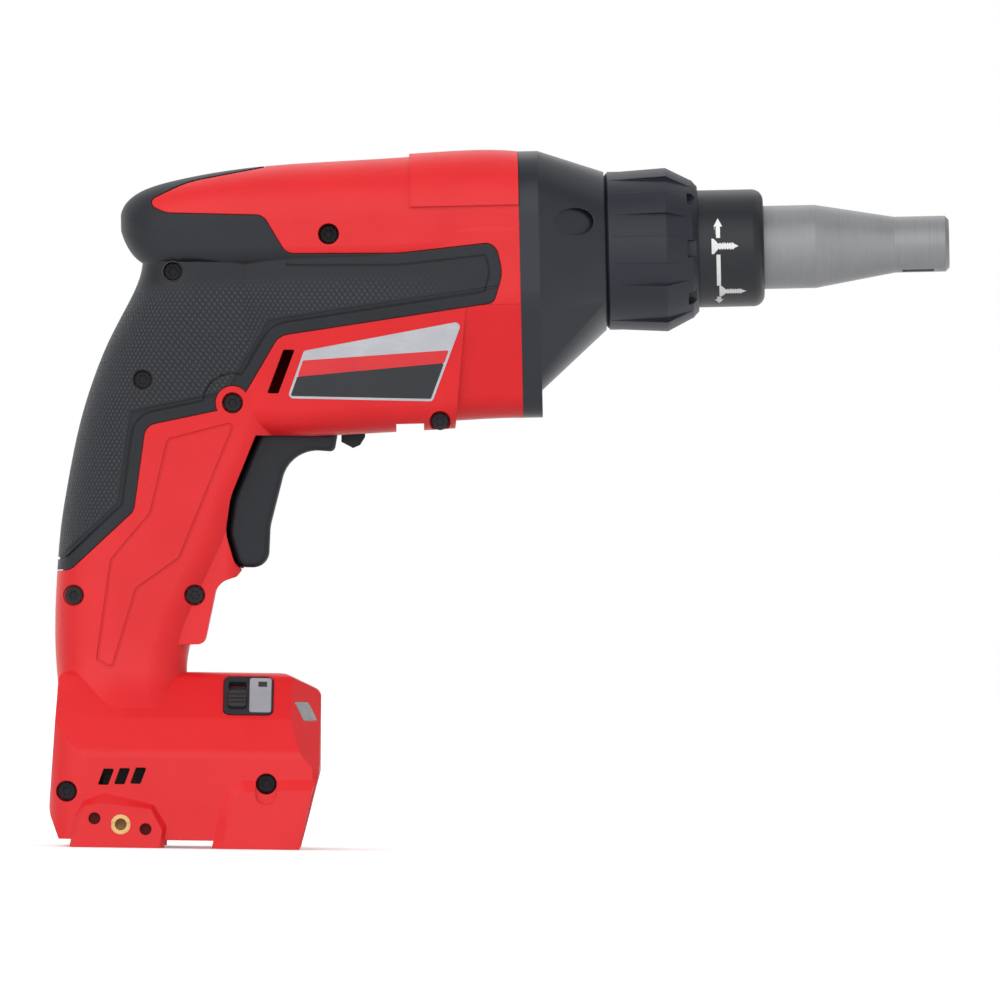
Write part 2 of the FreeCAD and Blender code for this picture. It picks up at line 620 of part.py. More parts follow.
def belly_section(x, half, base_half, drop, inset):
    """Section of the belly across the spindle line."""
    corners = [
        Vector(x, -half, BELLY_COVER), Vector(x, half, BELLY_COVER), Vector(x, half, -BELLY_SHOULDER),
        Vector(x, base_half, -drop), Vector(x, -base_half, -drop), Vector(x, -half, -BELLY_SHOULDER),
    ]
    cover, side, base = BELLY_COVER_ROUND, BELLY_SIDE_ROUND, BELLY_BASE_ROUND
    return rounded_loop(corners, [cover, cover, side, base, base, side], inset)


def belly(inset, trim):
    """Lower part of the barrel, its base drawn in by trim."""
    rear = -BACK_REACH * BELLY_REAR_SHARE
    length = SEAM_AHEAD - rear
    sections = []
    for along, half_share, base_share, drop_share in BELLY_SHARES:
        x = rear + length * along + (inset if along == 0 else 0)
        half = BARREL_WIDTH * half_share
        base_half = BELLY_BASE_WIDTH * base_share - trim
        sections.append(belly_section(x, half, base_half, BELLY_DROP * drop_share - trim, inset))
    return on_spindle(Part.makeLoft(sections, True))


def handle(inset):
    """Handle, flared into the barrel and into the foot."""
    sections = []
    for height_share, rear_share, front_share, wide_share in HANDLE_SHARES:
        z = SPINDLE_HEIGHT * height_share
        rear = -BACK_REACH * rear_share
        front = -BACK_REACH * front_share
        half = GRIP_WIDTH * wide_share
        rear_round = min(GRIP_REAR_ROUND, half * GRIP_LIMIT_SHARES[0])
        front_round = min(GRIP_FRONT_ROUND, half * GRIP_LIMIT_SHARES[1])
        corners = [Vector(rear, -half, z), Vector(front, -half, z), Vector(front, half, z),
                   Vector(rear, half, z)]
        sections.append(rounded_loop(corners, [rear_round, front_round, front_round, rear_round], inset))
    return Part.makeLoft(sections, True)


def finger_rest(inset):
    """Rounded bump on the front of the handle, under the trigger."""
    points = [place(x, z) for x, z in REST_OUTLINE_SHARES]
    rounds = [SPINDLE_HEIGHT * share for share in REST_ROUND_SHARES]
    half = REST_WIDTH / 2
    rear = BACK_REACH * REST_OUTLINE_SHARES[0][0]
    front = BACK_REACH * REST_OUTLINE_SHARES[1][0]
    corners = [Vector(rear, -half, 0), Vector(front, -half, 0), Vector(front, half, 0), Vector(rear, half, 0)]
    plan = rounded_loop(corners, [0.0, REST_FRONT_ROUND, REST_FRONT_ROUND, 0.0], inset)
    return side_prism(points, rounds, inset).common(prism(plan, UPWARD * OVERRUN))


def facet_corners(sign):
    """Three points of the leaning facet on one front corner of the foot."""
    return [Vector(BACK_REACH * x, FOOT_WIDTH * y * sign, FOOT_HEIGHT * z) for x, y, z in FACET_SHARES]


def on_facet(shape, sign, centre):
    """Set a shape drawn facing +X on a front corner's facet, at a centre."""
    low, middle, high = facet_corners(sign)
    outward = (middle - low).cross(high - low)
    outward = outward * math.copysign(1, outward.x)
    turn = FreeCAD.Rotation(outward, MIDDLE, UPWARD, "XZY")
    placed = shape.copy()
    placed.Placement = FreeCAD.Placement(centre, turn).multiply(placed.Placement)
    return placed


def foot(inset):
    """Foot over the battery: side, cross and plan outlines taken together."""
    points = [(BACK_REACH * x, FOOT_HEIGHT * z) for x, z, _ in FOOT_SIDE_SHARES]
    rounds = [FOOT_HEIGHT * share for _, _, share in FOOT_SIDE_SHARES]
    side = side_prism(points, rounds, inset)
    right = [Vector(-OVERRUN, -FOOT_WIDTH * y, FOOT_HEIGHT * z) for y, z, _ in FOOT_CROSS_SHARES]
    left = [Vector(-OVERRUN, FOOT_WIDTH * y, FOOT_HEIGHT * z) for y, z, _ in reversed(FOOT_CROSS_SHARES)]
    right_rounds = [FOOT_HEIGHT * share for _, _, share in FOOT_CROSS_SHARES]
    cross = rounded_loop(right + left, right_rounds + right_rounds[::-1], inset)
    half = FOOT_WIDTH * FOOT_PLAN_SHARE
    front = BACK_REACH * FOOT_SIDE_SHARES[3][0]
    corners = [Vector(-BACK_REACH, -half, 0), Vector(front, -half, 0), Vector(front, half, 0),
               Vector(-BACK_REACH, half, 0)]
    plan_rounds = [FOOT_REAR_ROUND, FOOT_FRONT_ROUND, FOOT_FRONT_ROUND, FOOT_REAR_ROUND]
    plan = rounded_loop(corners, plan_rounds, inset)
    solid = side.common(prism(cross, ALONG * OVERRUN * 2)).common(prism(plan, UPWARD * OVERRUN))
    for sign in (-1, 1):
        beyond = block(Vector(0, -OVERRUN, -OVERRUN), Vector(OVERRUN, OVERRUN, OVERRUN))
        beyond.translate(ALONG * -inset)
        solid = solid.cut(on_facet(beyond, sign, facet_corners(sign)[0]))
    floor = block(Vector(-OVERRUN, -OVERRUN, -OVERRUN), Vector(OVERRUN, OVERRUN, FOOT_BASE_GAP))
    return solid.cut(floor)


def side_pads(base_shares, face_shares):
    """Raised pads on both sides of the foot, with a sloped border, down to the ground."""
    base = FOOT_WIDTH / 2
    stages = ((base - WALL, base_shares), (base, base_shares), (base + PAD_RISE, face_shares))
    pads = []
    for sign in (-1, 1):
        loops = []
        for depth, shares in stages:
            points = [Vector(BACK_REACH * x, sign * depth, FOOT_HEIGHT * z) for x, z in shares]
            loops.append(Part.makePolygon(points + points[:1]))
        pads.append(Part.makeLoft(loops, True, True))
    return pads


def housing_form(inset, trim):
    """Whole housing without its raised details, drawn in by an inset."""
    shapes = [pod(inset), belly(inset, trim), handle(inset), finger_rest(inset), foot(inset)]
    return shapes[0].fuse(shapes[1:])


def split_half(shape, sign):
    """The part of a shape on one side of the middle plane."""
    low = Vector(-OVERRUN, min(0, sign * OVERRUN), -OVERRUN)
    high = Vector(OVERRUN, max(0, sign * OVERRUN), OVERRUN * 2)
    return shape.common(block(low, high))


# Pieces of the foot


def slide_cut():
    """Battery slide: a channel open to the front and below, with rail grooves."""
    rear = -BACK_REACH * SLIDE_REAR_SHARE
    half = SLIDE_WIDTH / 2
    channel = block(Vector(rear, -half, -OVERRUN), Vector(OVERRUN, half, SLIDE_HEIGHT))
    deep = half + RAIL_GROOVE_DEPTH
    top = RAIL_GROOVE_BASE + RAIL_GROOVE_HEIGHT
    grooves = block(Vector(rear, -deep, RAIL_GROOVE_BASE), Vector(OVERRUN, deep, top))
    return channel.fuse(grooves)


def leaning_slot(x, z, width, height):
    """Leaning vent slot through the whole tool."""
    lean = height * VENT_LEAN_SHARE / 2
    half, rise = width / 2, height / 2
    points = [(x - half - lean, z - rise), (x + half - lean, z - rise), (x + half + lean, z + rise),
              (x - half + lean, z + rise)]
    return side_prism(points, [VENT_ROUND] * len(points))


def barrel_vents():
    """Leaning vents through both walls of the barrel."""
    floor = BARREL_WIDTH * VENT_FLOOR_SHARE
    cuts = []
    for x, z in BARREL_VENT_SHARES:
        slot = leaning_slot(*place(x, z), BARREL_VENT_WIDTH, BARREL_VENT_HEIGHT)
        cuts.append(slot.common(block(Vector(-OVERRUN, -OVERRUN, 0), Vector(OVERRUN, -floor, OVERRUN))))
        slot.translate(ALONG * LEFT_VENT_AHEAD)
        cuts.append(slot.common(block(Vector(-OVERRUN, floor, 0), Vector(OVERRUN, OVERRUN, OVERRUN))))
    return cuts


def mode_frame(shape):
    """Set a shape drawn flat (x along the tool, y up the slope) on the foot's right slope."""
    low, high = FOOT_CROSS_SHARES[2], FOOT_CROSS_SHARES[3]
    foot_of_slope = Vector(0, -FOOT_WIDTH * low[0], FOOT_HEIGHT * low[1])
    head_of_slope = Vector(0, -FOOT_WIDTH * high[0], FOOT_HEIGHT * high[1])
    rise = head_of_slope - foot_of_slope
    centre = foot_of_slope + rise * MODE_SLOPE_SHARE - ALONG * (BACK_REACH * MODE_X_SHARE)
    placed = shape.copy()
    placed.rotate(MIDDLE, ALONG, math.degrees(math.atan2(rise.z, rise.y)))
    placed.translate(centre)
    return placed


def flat_plate(width, height, low, high, round_size, x=0.0, y=0.0):
    """Plate with rounded corners, lying flat around (x, y)."""
    half, rise = width / 2, height / 2
    corners = [Vector(x - half, y - rise, low), Vector(x + half, y - rise, low),
               Vector(x + half, y + rise, low), Vector(x - half, y + rise, low)]
    return prism(rounded_loop(corners, [round_size] * len(corners)), UPWARD * (high - low))


def mode_switch():
    """Bezel and slider of the start-mode switch, and the pocket they sit in."""
    pocket = flat_plate(MODE_WIDTH, MODE_HEIGHT, -MODE_POCKET, OVERRUN, MODE_ROUND)
    trim = SEAT_GAP * 2
    bezel = flat_plate(MODE_WIDTH - trim, MODE_HEIGHT - trim, -MODE_POCKET, MODE_PROUD, MODE_ROUND)
    window_x = MODE_WIDTH * MODE_WINDOW_SHARE
    edge = MODE_ROUND / 2
    window = flat_plate(MODE_WINDOW_WIDTH, MODE_WINDOW_HEIGHT, -OVERRUN, OVERRUN, edge, window_x)
    field_x = MODE_WIDTH * MODE_PLATE_SHARE
    field_low = MODE_PROUD - MODE_PLATE_DEPTH
    field = flat_plate(MODE_PLATE_WIDTH, MODE_WINDOW_HEIGHT, field_low, OVERRUN, edge, field_x)
    bezel = bezel.cut([window, field])
    knob_width = MODE_WINDOW_WIDTH - RUNNING_FIT * 2
    knob_top = MODE_PROUD + MODE_KNOB_PROUD
    knob_y = -MODE_TRAVEL / 2
    knob = flat_plate(knob_width, MODE_KNOB_HEIGHT, -MODE_POCKET, knob_top, edge, window_x, knob_y)
    step = MODE_KNOB_HEIGHT / (MODE_KNOB_RIBS + 1)
    for number in range(MODE_KNOB_RIBS):
        y = knob_y - MODE_KNOB_HEIGHT / 2 + step * (number + 1)
        low = Vector(window_x - MODE_WIDTH, y - MODE_KNOB_RIB_WIDTH / 2, knob_top - MODE_KNOB_RIB_DEPTH)
        high = Vector(window_x + MODE_WIDTH, y + MODE_KNOB_RIB_WIDTH / 2, knob_top + OVERRUN)
        knob = knob.cut(block(low, high))
    return mode_frame(bezel), mode_frame(knob), mode_frame(pocket)


def lens_centre(sign):
    """Middle of a work light on the facet of a front corner."""
    low, middle, high = facet_corners(sign)
    return low + (middle - low) * LENS_SHARES[0] + (high - middle) * LENS_SHARES[1]


def work_lights():
    """Lenses and boards of the work lights, and the pockets for both."""
    half, rise = LENS_WIDTH / 2, LENS_HEIGHT / 2
    lens = block(Vector(-LENS_DEPTH, -half, -rise), Vector(0, half, rise))
    board_half, board_rise = LIGHT_BOARD_WIDTH / 2, LIGHT_BOARD_HEIGHT / 2
    led_half = LIGHT_LED_SIDE / 2
    led_front = -LENS_DEPTH - SEAT_GAP
    board_front = led_front - LIGHT_LED_HEIGHT
    board_rear = board_front - LIGHT_BOARD_THICKNESS
    board = block(Vector(board_rear, -board_half, -board_rise), Vector(board_front, board_half, board_rise))
    led = block(Vector(board_front, -led_half, -led_half), Vector(led_front, led_half, led_half))
    board = board.fuse(led)
    grown_half, grown_rise = half + SEAT_GAP, rise + SEAT_GAP
    pocket = block(Vector(board_front, -grown_half, -grown_rise), Vector(OVERRUN, grown_half, grown_rise))
    deep_half, deep_rise = board_half + SEAT_GAP, board_rise + SEAT_GAP
    deep_rear = board_rear - SEAT_GAP
    deep = block(Vector(deep_rear, -deep_half, -deep_rise), Vector(board_front, deep_half, deep_rise))
    seat_half, seat_rise = deep_half + RIB, deep_rise + RIB
    seat = block(Vector(board_rear - RIB, -seat_half, -seat_rise), Vector(0, seat_half, seat_rise))
    lenses = Part.makeCompound([on_facet(lens, sign, lens_centre(sign)) for sign in (-1, 1)])
    boards = Part.makeCompound([on_facet(board, sign, lens_centre(sign)) for sign in (-1, 1)])
    pockets = [on_facet(shape, sign, lens_centre(sign)) for sign in (-1, 1) for shape in (pocket, deep)]
    seats = [on_facet(seat, sign, lens_centre(sign)) for sign in (-1, 1)]
    return lenses, boards, pockets, seats


def terminals():
    """Terminal block at the rear of the slide and its blades."""
    rear = -BACK_REACH * SLIDE_REAR_SHARE
    front = rear + TERMINAL_BLOCK_LENGTH
    half = TERMINAL_BLOCK_WIDTH / 2
    base = SLIDE_HEIGHT - TERMINAL_BLOCK_HEIGHT
    corners = [Vector(rear, -half, base), Vector(rear, half, base), Vector(rear, half, SLIDE_HEIGHT),
               Vector(rear, -half, SLIDE_HEIGHT)]
    edge = TERMINAL_BLOCK_ROUND
    body = prism(rounded_loop(corners, [edge, edge, 0.0, 0.0]), ALONG * TERMINAL_BLOCK_LENGTH)
    blade_low = base + (TERMINAL_BLOCK_HEIGHT - TERMINAL_HEIGHT) / 2
    blade_high = blade_low + TERMINAL_HEIGHT
    blade_rear = front - TERMINAL_ROOT
    blade_half = TERMINAL_THICKNESS / 2
    blades = []
    for number in range(TERMINAL_COUNT):
        y = (number - (TERMINAL_COUNT - 1) / 2) * TERMINAL_PITCH
        low = Vector(blade_rear, y - blade_half, blade_low)
        high = Vector(blade_rear + TERMINAL_LENGTH, y + blade_half, blade_high)
        blades.append(block(low, high))
        body = body.cut(blades[-1])
    return body, Part.makeCompound(blades)


def hook_inserts():
    """Slotted brass inserts in both hook pads, and the holes that they sit in."""
    x = BACK_REACH * INSERT_SHARES[0]
    z = FOOT_HEIGHT * INSERT_SHARES[1]
    face = FOOT_WIDTH / 2 + PAD_RISE
    inserts = []
    holes = []
    for sign in (-1, 1):
        rear = sign * (face - INSERT_LENGTH)
        insert = across_rod(INSERT_RADIUS, x, z, rear, sign * face)
        insert = insert.cut(across_rod(INSERT_BORE_RADIUS, x, z, rear, sign * face))
        half = INSERT_SLOT / 2
        depth = sorted((sign * (face - INSERT_SLOT_DEPTH), sign * (face + OVERRUN)))
        slot = block(Vector(-OVERRUN, depth[0], z - half), Vector(OVERRUN, depth[1], z + half))
        inserts.append(insert.cut(slot))
        holes.append(across_rod(INSERT_RADIUS, x, z, rear, sign * (face + OVERRUN)))
        start, end = sign * (face - DIMPLE_DEPTH), sign * (face + OVERRUN)
        for x_share, z_share in DIMPLE_SHARES:
            spot_x, spot_z = BACK_REACH * x_share, FOOT_HEIGHT * z_share
            holes.append(across_rod(DIMPLE_RADIUS, spot_x, spot_z, start, end))
    return Part.makeCompound(inserts), holes


def control_module():
    """Potted control module with cooling fins on its lower side."""
    rear = -BACK_REACH * MODULE_REAR_SHARE
    body = flat_plate(MODULE_LENGTH, MODULE_WIDTH, MODULE_BASE, MODULE_BASE + MODULE_HEIGHT, MODULE_ROUND,
                      rear + MODULE_LENGTH / 2)
    pitch = MODULE_WIDTH / (MODULE_FINS * 2 + 1)
    for number in range(MODULE_FINS):
        y = pitch * (number * 2 + 1) - MODULE_WIDTH / 2
        low = Vector(rear - OVERRUN, y, MODULE_BASE - OVERRUN)
        body = body.cut(block(low, Vector(OVERRUN, y + pitch, MODULE_BASE + MODULE_FIN_DEPTH)))
    return body


# Trigger, switch and reversing lever


def trigger_outline(inset):
    """Trigger shape across the whole tool, drawn in by an inset."""
    points = [place(x, z) for x, z, _ in TRIGGER_SHARES]
    rounds = [BACK_REACH * share for _, _, share in TRIGGER_SHARES]
    return side_prism(points, rounds, inset)


def trigger_slab(half):
    """Middle slab of the tool, half thick to each side."""
    return block(Vector(-OVERRUN, -half, -OVERRUN), Vector(OVERRUN, half, OVERRUN * 2))


def trigger_piece():
    """Trigger with rounded side edges."""
    half = TRIGGER_WIDTH / 2
    body = trigger_outline(0.0).common(trigger_slab(half))
    rims = [edge for edge in body.Edges
            if all(abs(abs(vertex.Point.y) - half) < RUNNING_FIT for vertex in edge.Vertexes)
            and abs(edge.CenterOfMass.y) > half - RUNNING_FIT]
    body = body.makeFillet(TRIGGER_EDGE_ROUND, rims)
    return body.cut(plunger_rod(PLUNGER_RADIUS))


def trigger_rear():
    """Rear end of the trigger at the height of the plunger."""
    return BACK_REACH * TRIGGER_SHARES[7][0]


def plunger_rod(radius):
    """Rod between the trigger and the inside of the switch."""
    z = SPINDLE_HEIGHT * PLUNGER_HEIGHT_SHARE
    rear = trigger_rear()
    return rod(radius, Vector(rear + PLUNGER_ROOT, 0, z), Vector(rear - PLUNGER_RUN, 0, z))


def trigger_cuts():
    """Room for the trigger: its open line on the handle, and its travel in the middle."""
    points = [place(x, z) for x, z, _ in TRIGGER_SHARES]
    rounds = [BACK_REACH * share for _, _, share in TRIGGER_SHARES]
    pulled = [(x - TRIGGER_TRAVEL if number in TRIGGER_REAR_CORNERS else x, z)
              for number, (x, z) in enumerate(points)]
    room = trigger_outline(-TRIGGER_GAP)
    travel = room.fuse(side_prism(pulled, rounds, -TRIGGER_GAP))
    cheek_top = SPINDLE_HEIGHT * TRIGGER_CHEEK_SHARE
    below = block(Vector(-OVERRUN, -OVERRUN, 0), Vector(OVERRUN, OVERRUN, cheek_top))
    return [room.common(below), travel.common(trigger_slab(TRIGGER_WIDTH / 2 + MOVING_GAP))]


def switch_body():
    """Switch behind the trigger, with the hole for the plunger."""
    front = -BACK_REACH * SWITCH_FRONT_SHARE
    low = SPINDLE_HEIGHT * SWITCH_BASE_SHARE
    high = SPINDLE_HEIGHT * SWITCH_TOP_SHARE
    body = flat_plate(SWITCH_LENGTH, SWITCH_WIDTH, low, high, SWITCH_ROUND, front - SWITCH_LENGTH / 2)
    z = SPINDLE_HEIGHT * PLUNGER_HEIGHT_SHARE
    end = trigger_rear() - PLUNGER_RUN - TRIGGER_TRAVEL - MOVING_GAP
    return body.cut(rod(PLUNGER_RADIUS + RUNNING_FIT, Vector(front, 0, z), Vector(end, 0, z)))


def lever_floor():
    """Height of the inner face of the belly's base at the lever."""
    x = -BACK_REACH * LEVER_PIN_SHARE
    drop = BELLY_DROP * BELLY_SHARES[3][3] - BASE_TRIM
    return SPINDLE_HEIGHT + x * math.tan(math.radians(SPINDLE_LEAN)) - drop + WALL


def reversing_lever():
    """Lever on its pin, the pin, the slot for its tip and the bridge over it."""
    pin_x = -BACK_REACH * LEVER_PIN_SHARE
    low = lever_floor() + MOVING_GAP
    high = low + LEVER_PLATE
    tip = side_prism([place(x, z) for x, z in LEVER_TIP_SHARES]).common(trigger_slab(LEVER_TAB_WIDTH / 2))
    tip = tip.common(block(Vector(-OVERRUN, -OVERRUN, 0), Vector(OVERRUN, OVERRUN, high)))
    rear = BACK_REACH * LEVER_TIP_SHARES[0][0]
    half = LEVER_TAB_WIDTH / 2
    arm = block(Vector(rear, -half, low), Vector(pin_x, half, high))
    hub = rod(LEVER_HUB_RADIUS, Vector(pin_x, 0, low), Vector(pin_x, 0, high))
    lever = fuse_all([arm, hub, tip])
    lever = lever.cut(rod(LEVER_PIN_RADIUS + RUNNING_FIT, Vector(pin_x, 0, 0), Vector(pin_x, 0, OVERRUN)))
    pin_low = lever_floor() - WALL / 2
    pin = rod(LEVER_PIN_RADIUS, Vector(pin_x, 0, pin_low), Vector(pin_x, 0, pin_low + LEVER_PIN_LENGTH))
    swing = (pin_x - rear) * math.sin(math.radians(LEVER_SWING))
    slot_half = half + swing + MOVING_GAP
    slot_front = BACK_REACH * LEVER_TIP_SHARES[-1][0] + MOVING_GAP * 2
    slot_rear = rear - MOVING_GAP * 2
    slot = block(Vector(slot_rear, -slot_half, 0), Vector(slot_front, slot_half, high))
    bridge_low = high + MOVING_GAP
    room_front = pin_x + LEVER_HUB_RADIUS + MOVING_GAP
    room = block(Vector(slot_rear, -slot_half, lever_floor()), Vector(room_front, slot_half, bridge_low))
    reach = LEVER_HUB_RADIUS
    bridge_high = bridge_low + LEVER_BRIDGE
    bridge = block(Vector(pin_x - reach, -OVERRUN, bridge_low), Vector(pin_x + reach, OVERRUN, bridge_high))
    return lever, pin, slot.fuse(room), bridge


# Motor and gears


def involute_wheel(teeth, start, end, thinning):
    """Spur wheel about the spindle line with one tooth straight up."""
    pitch_radius = TOOTH_MODULE * teeth / 2
    pressure = math.radians(PRESSURE_ANGLE)
    base_radius = pitch_radius * math.cos(pressure)
    tip_radius = pitch_radius + TOOTH_MODULE * ADDENDUM_SHARE
    root_radius = pitch_radius - TOOTH_MODULE * DEDENDUM_SHARE
    half_tooth = math.pi / teeth / 2 - thinning / pitch_radius / 2
    spread = math.tan(pressure) - pressure
    low = max(base_radius, root_radius)
    flank = []
    for number in range(FLANK_STEPS + 1):
        radius = low + (tip_radius - low) * number / FLANK_STEPS
        roll = math.acos(min(1.0, base_radius / radius))
        flank.append((radius, half_tooth + spread - (math.tan(roll) - roll)))

    def spot(radius, angle):
        return Vector(start, radius * math.sin(angle), radius * math.cos(angle))

    edges = []
    pitch = 2 * math.pi / teeth
    for number in range(teeth):
        turn = pitch * number
        rising = [spot(radius, turn - angle) for radius, angle in flank]
        falling = [spot(radius, turn + angle) for radius, angle in reversed(flank)]
        root_angle = flank[0][1]
        root_start = spot(root_radius, turn - root_angle)
        root_end = spot(root_radius, turn + root_angle)
        if low > root_radius:
            edges.append(Part.LineSegment(root_start, rising[0]).toShape())
        rise = Part.BSplineCurve()
        rise.interpolate(rising)
        edges.append(rise.toShape())
        edges.append(Part.Arc(rising[-1], spot(tip_radius, turn), falling[0]).toShape())
        fall = Part.BSplineCurve()
        fall.interpolate(falling)
        edges.append(fall.toShape())
        if low > root_radius:
            edges.append(Part.LineSegment(falling[-1], root_end).toShape())
        valley = spot(root_radius, turn + pitch / 2)
        edges.append(Part.Arc(root_end, valley, spot(root_radius, turn + pitch - root_angle)).toShape())
    return prism(Part.Wire(edges), ALONG * (end - start))


def stator_parts():
    """Stator core with its teeth, and a coil around each tooth."""
    bore = ROTOR_RADIUS + AIR_GAP
    yoke_inner = STATOR_RADIUS - YOKE_WIDTH
    core = ring(STATOR_RADIUS, yoke_inner, STATOR_REAR, STATOR_FRONT, MOTOR_DROP)
    half = STATOR_TOOTH_WIDTH / 2
    shoe_outer = bore + STATOR_SHOE_DEPTH
    shoe_angle = 360 / STATOR_SLOTS - math.degrees(SLOT_OPENING / bore)
    coil_half = (STATOR_TOOTH_WIDTH + shoe_outer * math.radians(360 / STATOR_SLOTS) - SLOT_OPENING) / 4
    coils = []
    pieces = [core]
    for number in range(STATOR_SLOTS):
        turn = 360 / STATOR_SLOTS * number
        tooth_low, tooth_high = bore + AIR_GAP, yoke_inner + AIR_GAP
        tooth = block(Vector(STATOR_REAR, -half, tooth_low), Vector(STATOR_FRONT, half, tooth_high))
        tooth.translate(UPWARD * -MOTOR_DROP)
        pieces.append(spun(tooth, turn, MOTOR_DROP))
        pieces.append(sector(bore, shoe_outer, STATOR_REAR, STATOR_FRONT, shoe_angle, turn, MOTOR_DROP))
        low, high = shoe_outer + SEAT_GAP, yoke_inner - WINDING_ROUND
        rear, front = STATOR_REAR - WINDING_OVERHANG, STATOR_FRONT + WINDING_OVERHANG
        corners = [Vector(rear, -coil_half, low), Vector(front, -coil_half, low),
                   Vector(front, coil_half, low), Vector(rear, coil_half, low)]
        coil = prism(rounded_loop(corners, [WINDING_ROUND] * len(corners)), UPWARD * (high - low))
        tooth_half = half + SEAT_GAP
        window_rear, window_front = STATOR_REAR - SEAT_GAP, STATOR_FRONT + SEAT_GAP
        window = block(Vector(window_rear, -tooth_half, 0), Vector(window_front, tooth_half, OVERRUN))
        coil = coil.cut(window)
        coil.translate(UPWARD * -MOTOR_DROP)
        coils.append(spun(coil, turn, MOTOR_DROP))
    return fuse_all(pieces), Part.makeCompound(coils)


def cooling_fan():
    """Radial fan with leaning blades on the motor shaft."""
    front = SEAM_AHEAD - FAN_BEHIND
    rear = front - FAN_WIDTH
    hub = disc(FAN_HUB_RADIUS, rear, front, MOTOR_DROP)
    plate = disc(FAN_RADIUS, front - FAN_DISC, front, MOTOR_DROP)
    pieces = [hub, plate]
    start = FAN_RADIUS * FAN_BLADE_START_SHARE
    half = FAN_BLADE_THICKNESS / 2
    rim = disc(FAN_RADIUS, rear, front, MOTOR_DROP)
    for number in range(FAN_BLADES):
        blade = block(Vector(rear, -half, 0), Vector(front, half, FAN_RADIUS))
        blade.rotate(MIDDLE, ALONG, FAN_BLADE_LEAN)
        blade.translate(UPWARD * (start - MOTOR_DROP))
        pieces.append(spun(blade, 360 / FAN_BLADES * number, MOTOR_DROP).common(rim))
    solid = fuse_all(pieces)
    return solid.cut(disc(SHAFT_RADIUS, rear, front, MOTOR_DROP))


def bearing(outer, inner, start, end, drop):
    """Sealed bearing as one ring with a shallow shield on each face."""
    solid = ring(outer, inner, start, end, drop)
    shield_outer = outer - (outer - inner) / 4
    shield_inner = inner + (outer - inner) / 4
    solid = solid.cut(ring(shield_outer, shield_inner, start, start + BEARING_EDGE, drop))
    return solid.cut(ring(shield_outer, shield_inner, end - BEARING_EDGE, end, drop))


def motor_parts():
    """Everything that turns on the motor line, with its bearings and board."""
    shaft_rear = REAR_BEARING_FRONT - BEARING_WIDTH + BEARING_EDGE
    pinion_front = GEAR_FRONT + PINION_OVERHANG
    shaft = disc(SHAFT_RADIUS, shaft_rear, PLATE_FRONT, MOTOR_DROP)
    shaft = shaft.fuse(disc(SHAFT_TIP_RADIUS, PLATE_FRONT, pinion_front, MOTOR_DROP)).removeSplitter()
    pinion = involute_wheel(PINION_TEETH, PLATE_FRONT + RUNNING_FIT, pinion_front, BACKLASH)
    pinion.translate(UPWARD * -MOTOR_DROP)
    pinion = pinion.cut(disc(SHAFT_TIP_RADIUS, PLATE_FRONT, pinion_front, MOTOR_DROP))
    core = ring(ROTOR_RADIUS, SHAFT_RADIUS, STATOR_REAR, STATOR_FRONT, MOTOR_DROP)
    board_rear = BOARD_FRONT - SENSOR_BOARD_THICKNESS
    board = ring(SENSOR_BOARD_RADIUS, SENSOR_BOARD_HOLE_RADIUS, board_rear, BOARD_FRONT, MOTOR_DROP)
    inner = SHAFT_RADIUS + RUNNING_FIT
    front_bearing = bearing(BEARING_RADIUS, inner, SEAM_AHEAD, PLATE_FRONT, MOTOR_DROP)
    bearing_rear = REAR_BEARING_FRONT - BEARING_WIDTH
    rear_bearing = bearing(BEARING_RADIUS, inner, bearing_rear, REAR_BEARING_FRONT, MOTOR_DROP)
    return shaft, pinion, core, board, front_bearing, rear_bearing


def dogs(rear, front, turn):
    """Clutch dogs between two places along the spindle."""
    step = 360 / DOG_COUNT
    return [sector(DOG_INNER_RADIUS, DOG_OUTER_RADIUS, rear, front, DOG_ANGLE, step * number + turn)
            for number in range(DOG_COUNT)]


def output_gear():
    """Large gear, free on the spindle, with clutch dogs on its front."""
    turn = 180 / GEAR_TEETH if GEAR_TEETH % 2 == 0 else 0
    wheel = spun(involute_wheel(GEAR_TEETH, GEAR_REAR, GEAR_FRONT, BACKLASH), turn)
    rim = TOOTH_MODULE * GEAR_TEETH / 2 - TOOTH_MODULE * DEDENDUM_SHARE * 2
    hub = SPINDLE_TAIL_RADIUS + (rim - SPINDLE_TAIL_RADIUS) * (1 - GEAR_HUB_SHARE)
    wheel = wheel.cut(ring(rim, hub, GEAR_REAR, GEAR_REAR + GEAR_RECESS_DEPTH))
    wheel = fuse_all([wheel] + dogs(GEAR_FRONT, GEAR_FRONT + DOG_HEIGHT, 0))
    return wheel.cut(disc(SPINDLE_TAIL_RADIUS + RUNNING_FIT, GEAR_REAR, GEAR_FRONT))


def clutch_plate():
    """Driven clutch disc on the spindle, with dogs that face the gear."""
    plate = ring(CLUTCH_DISC_RADIUS, SPINDLE_TAIL_RADIUS, CLUTCH_REAR, CLUTCH_FRONT)
    return fuse_all([plate] + dogs(CLUTCH_REAR - DOG_HEIGHT, CLUTCH_REAR, 180 / DOG_COUNT))


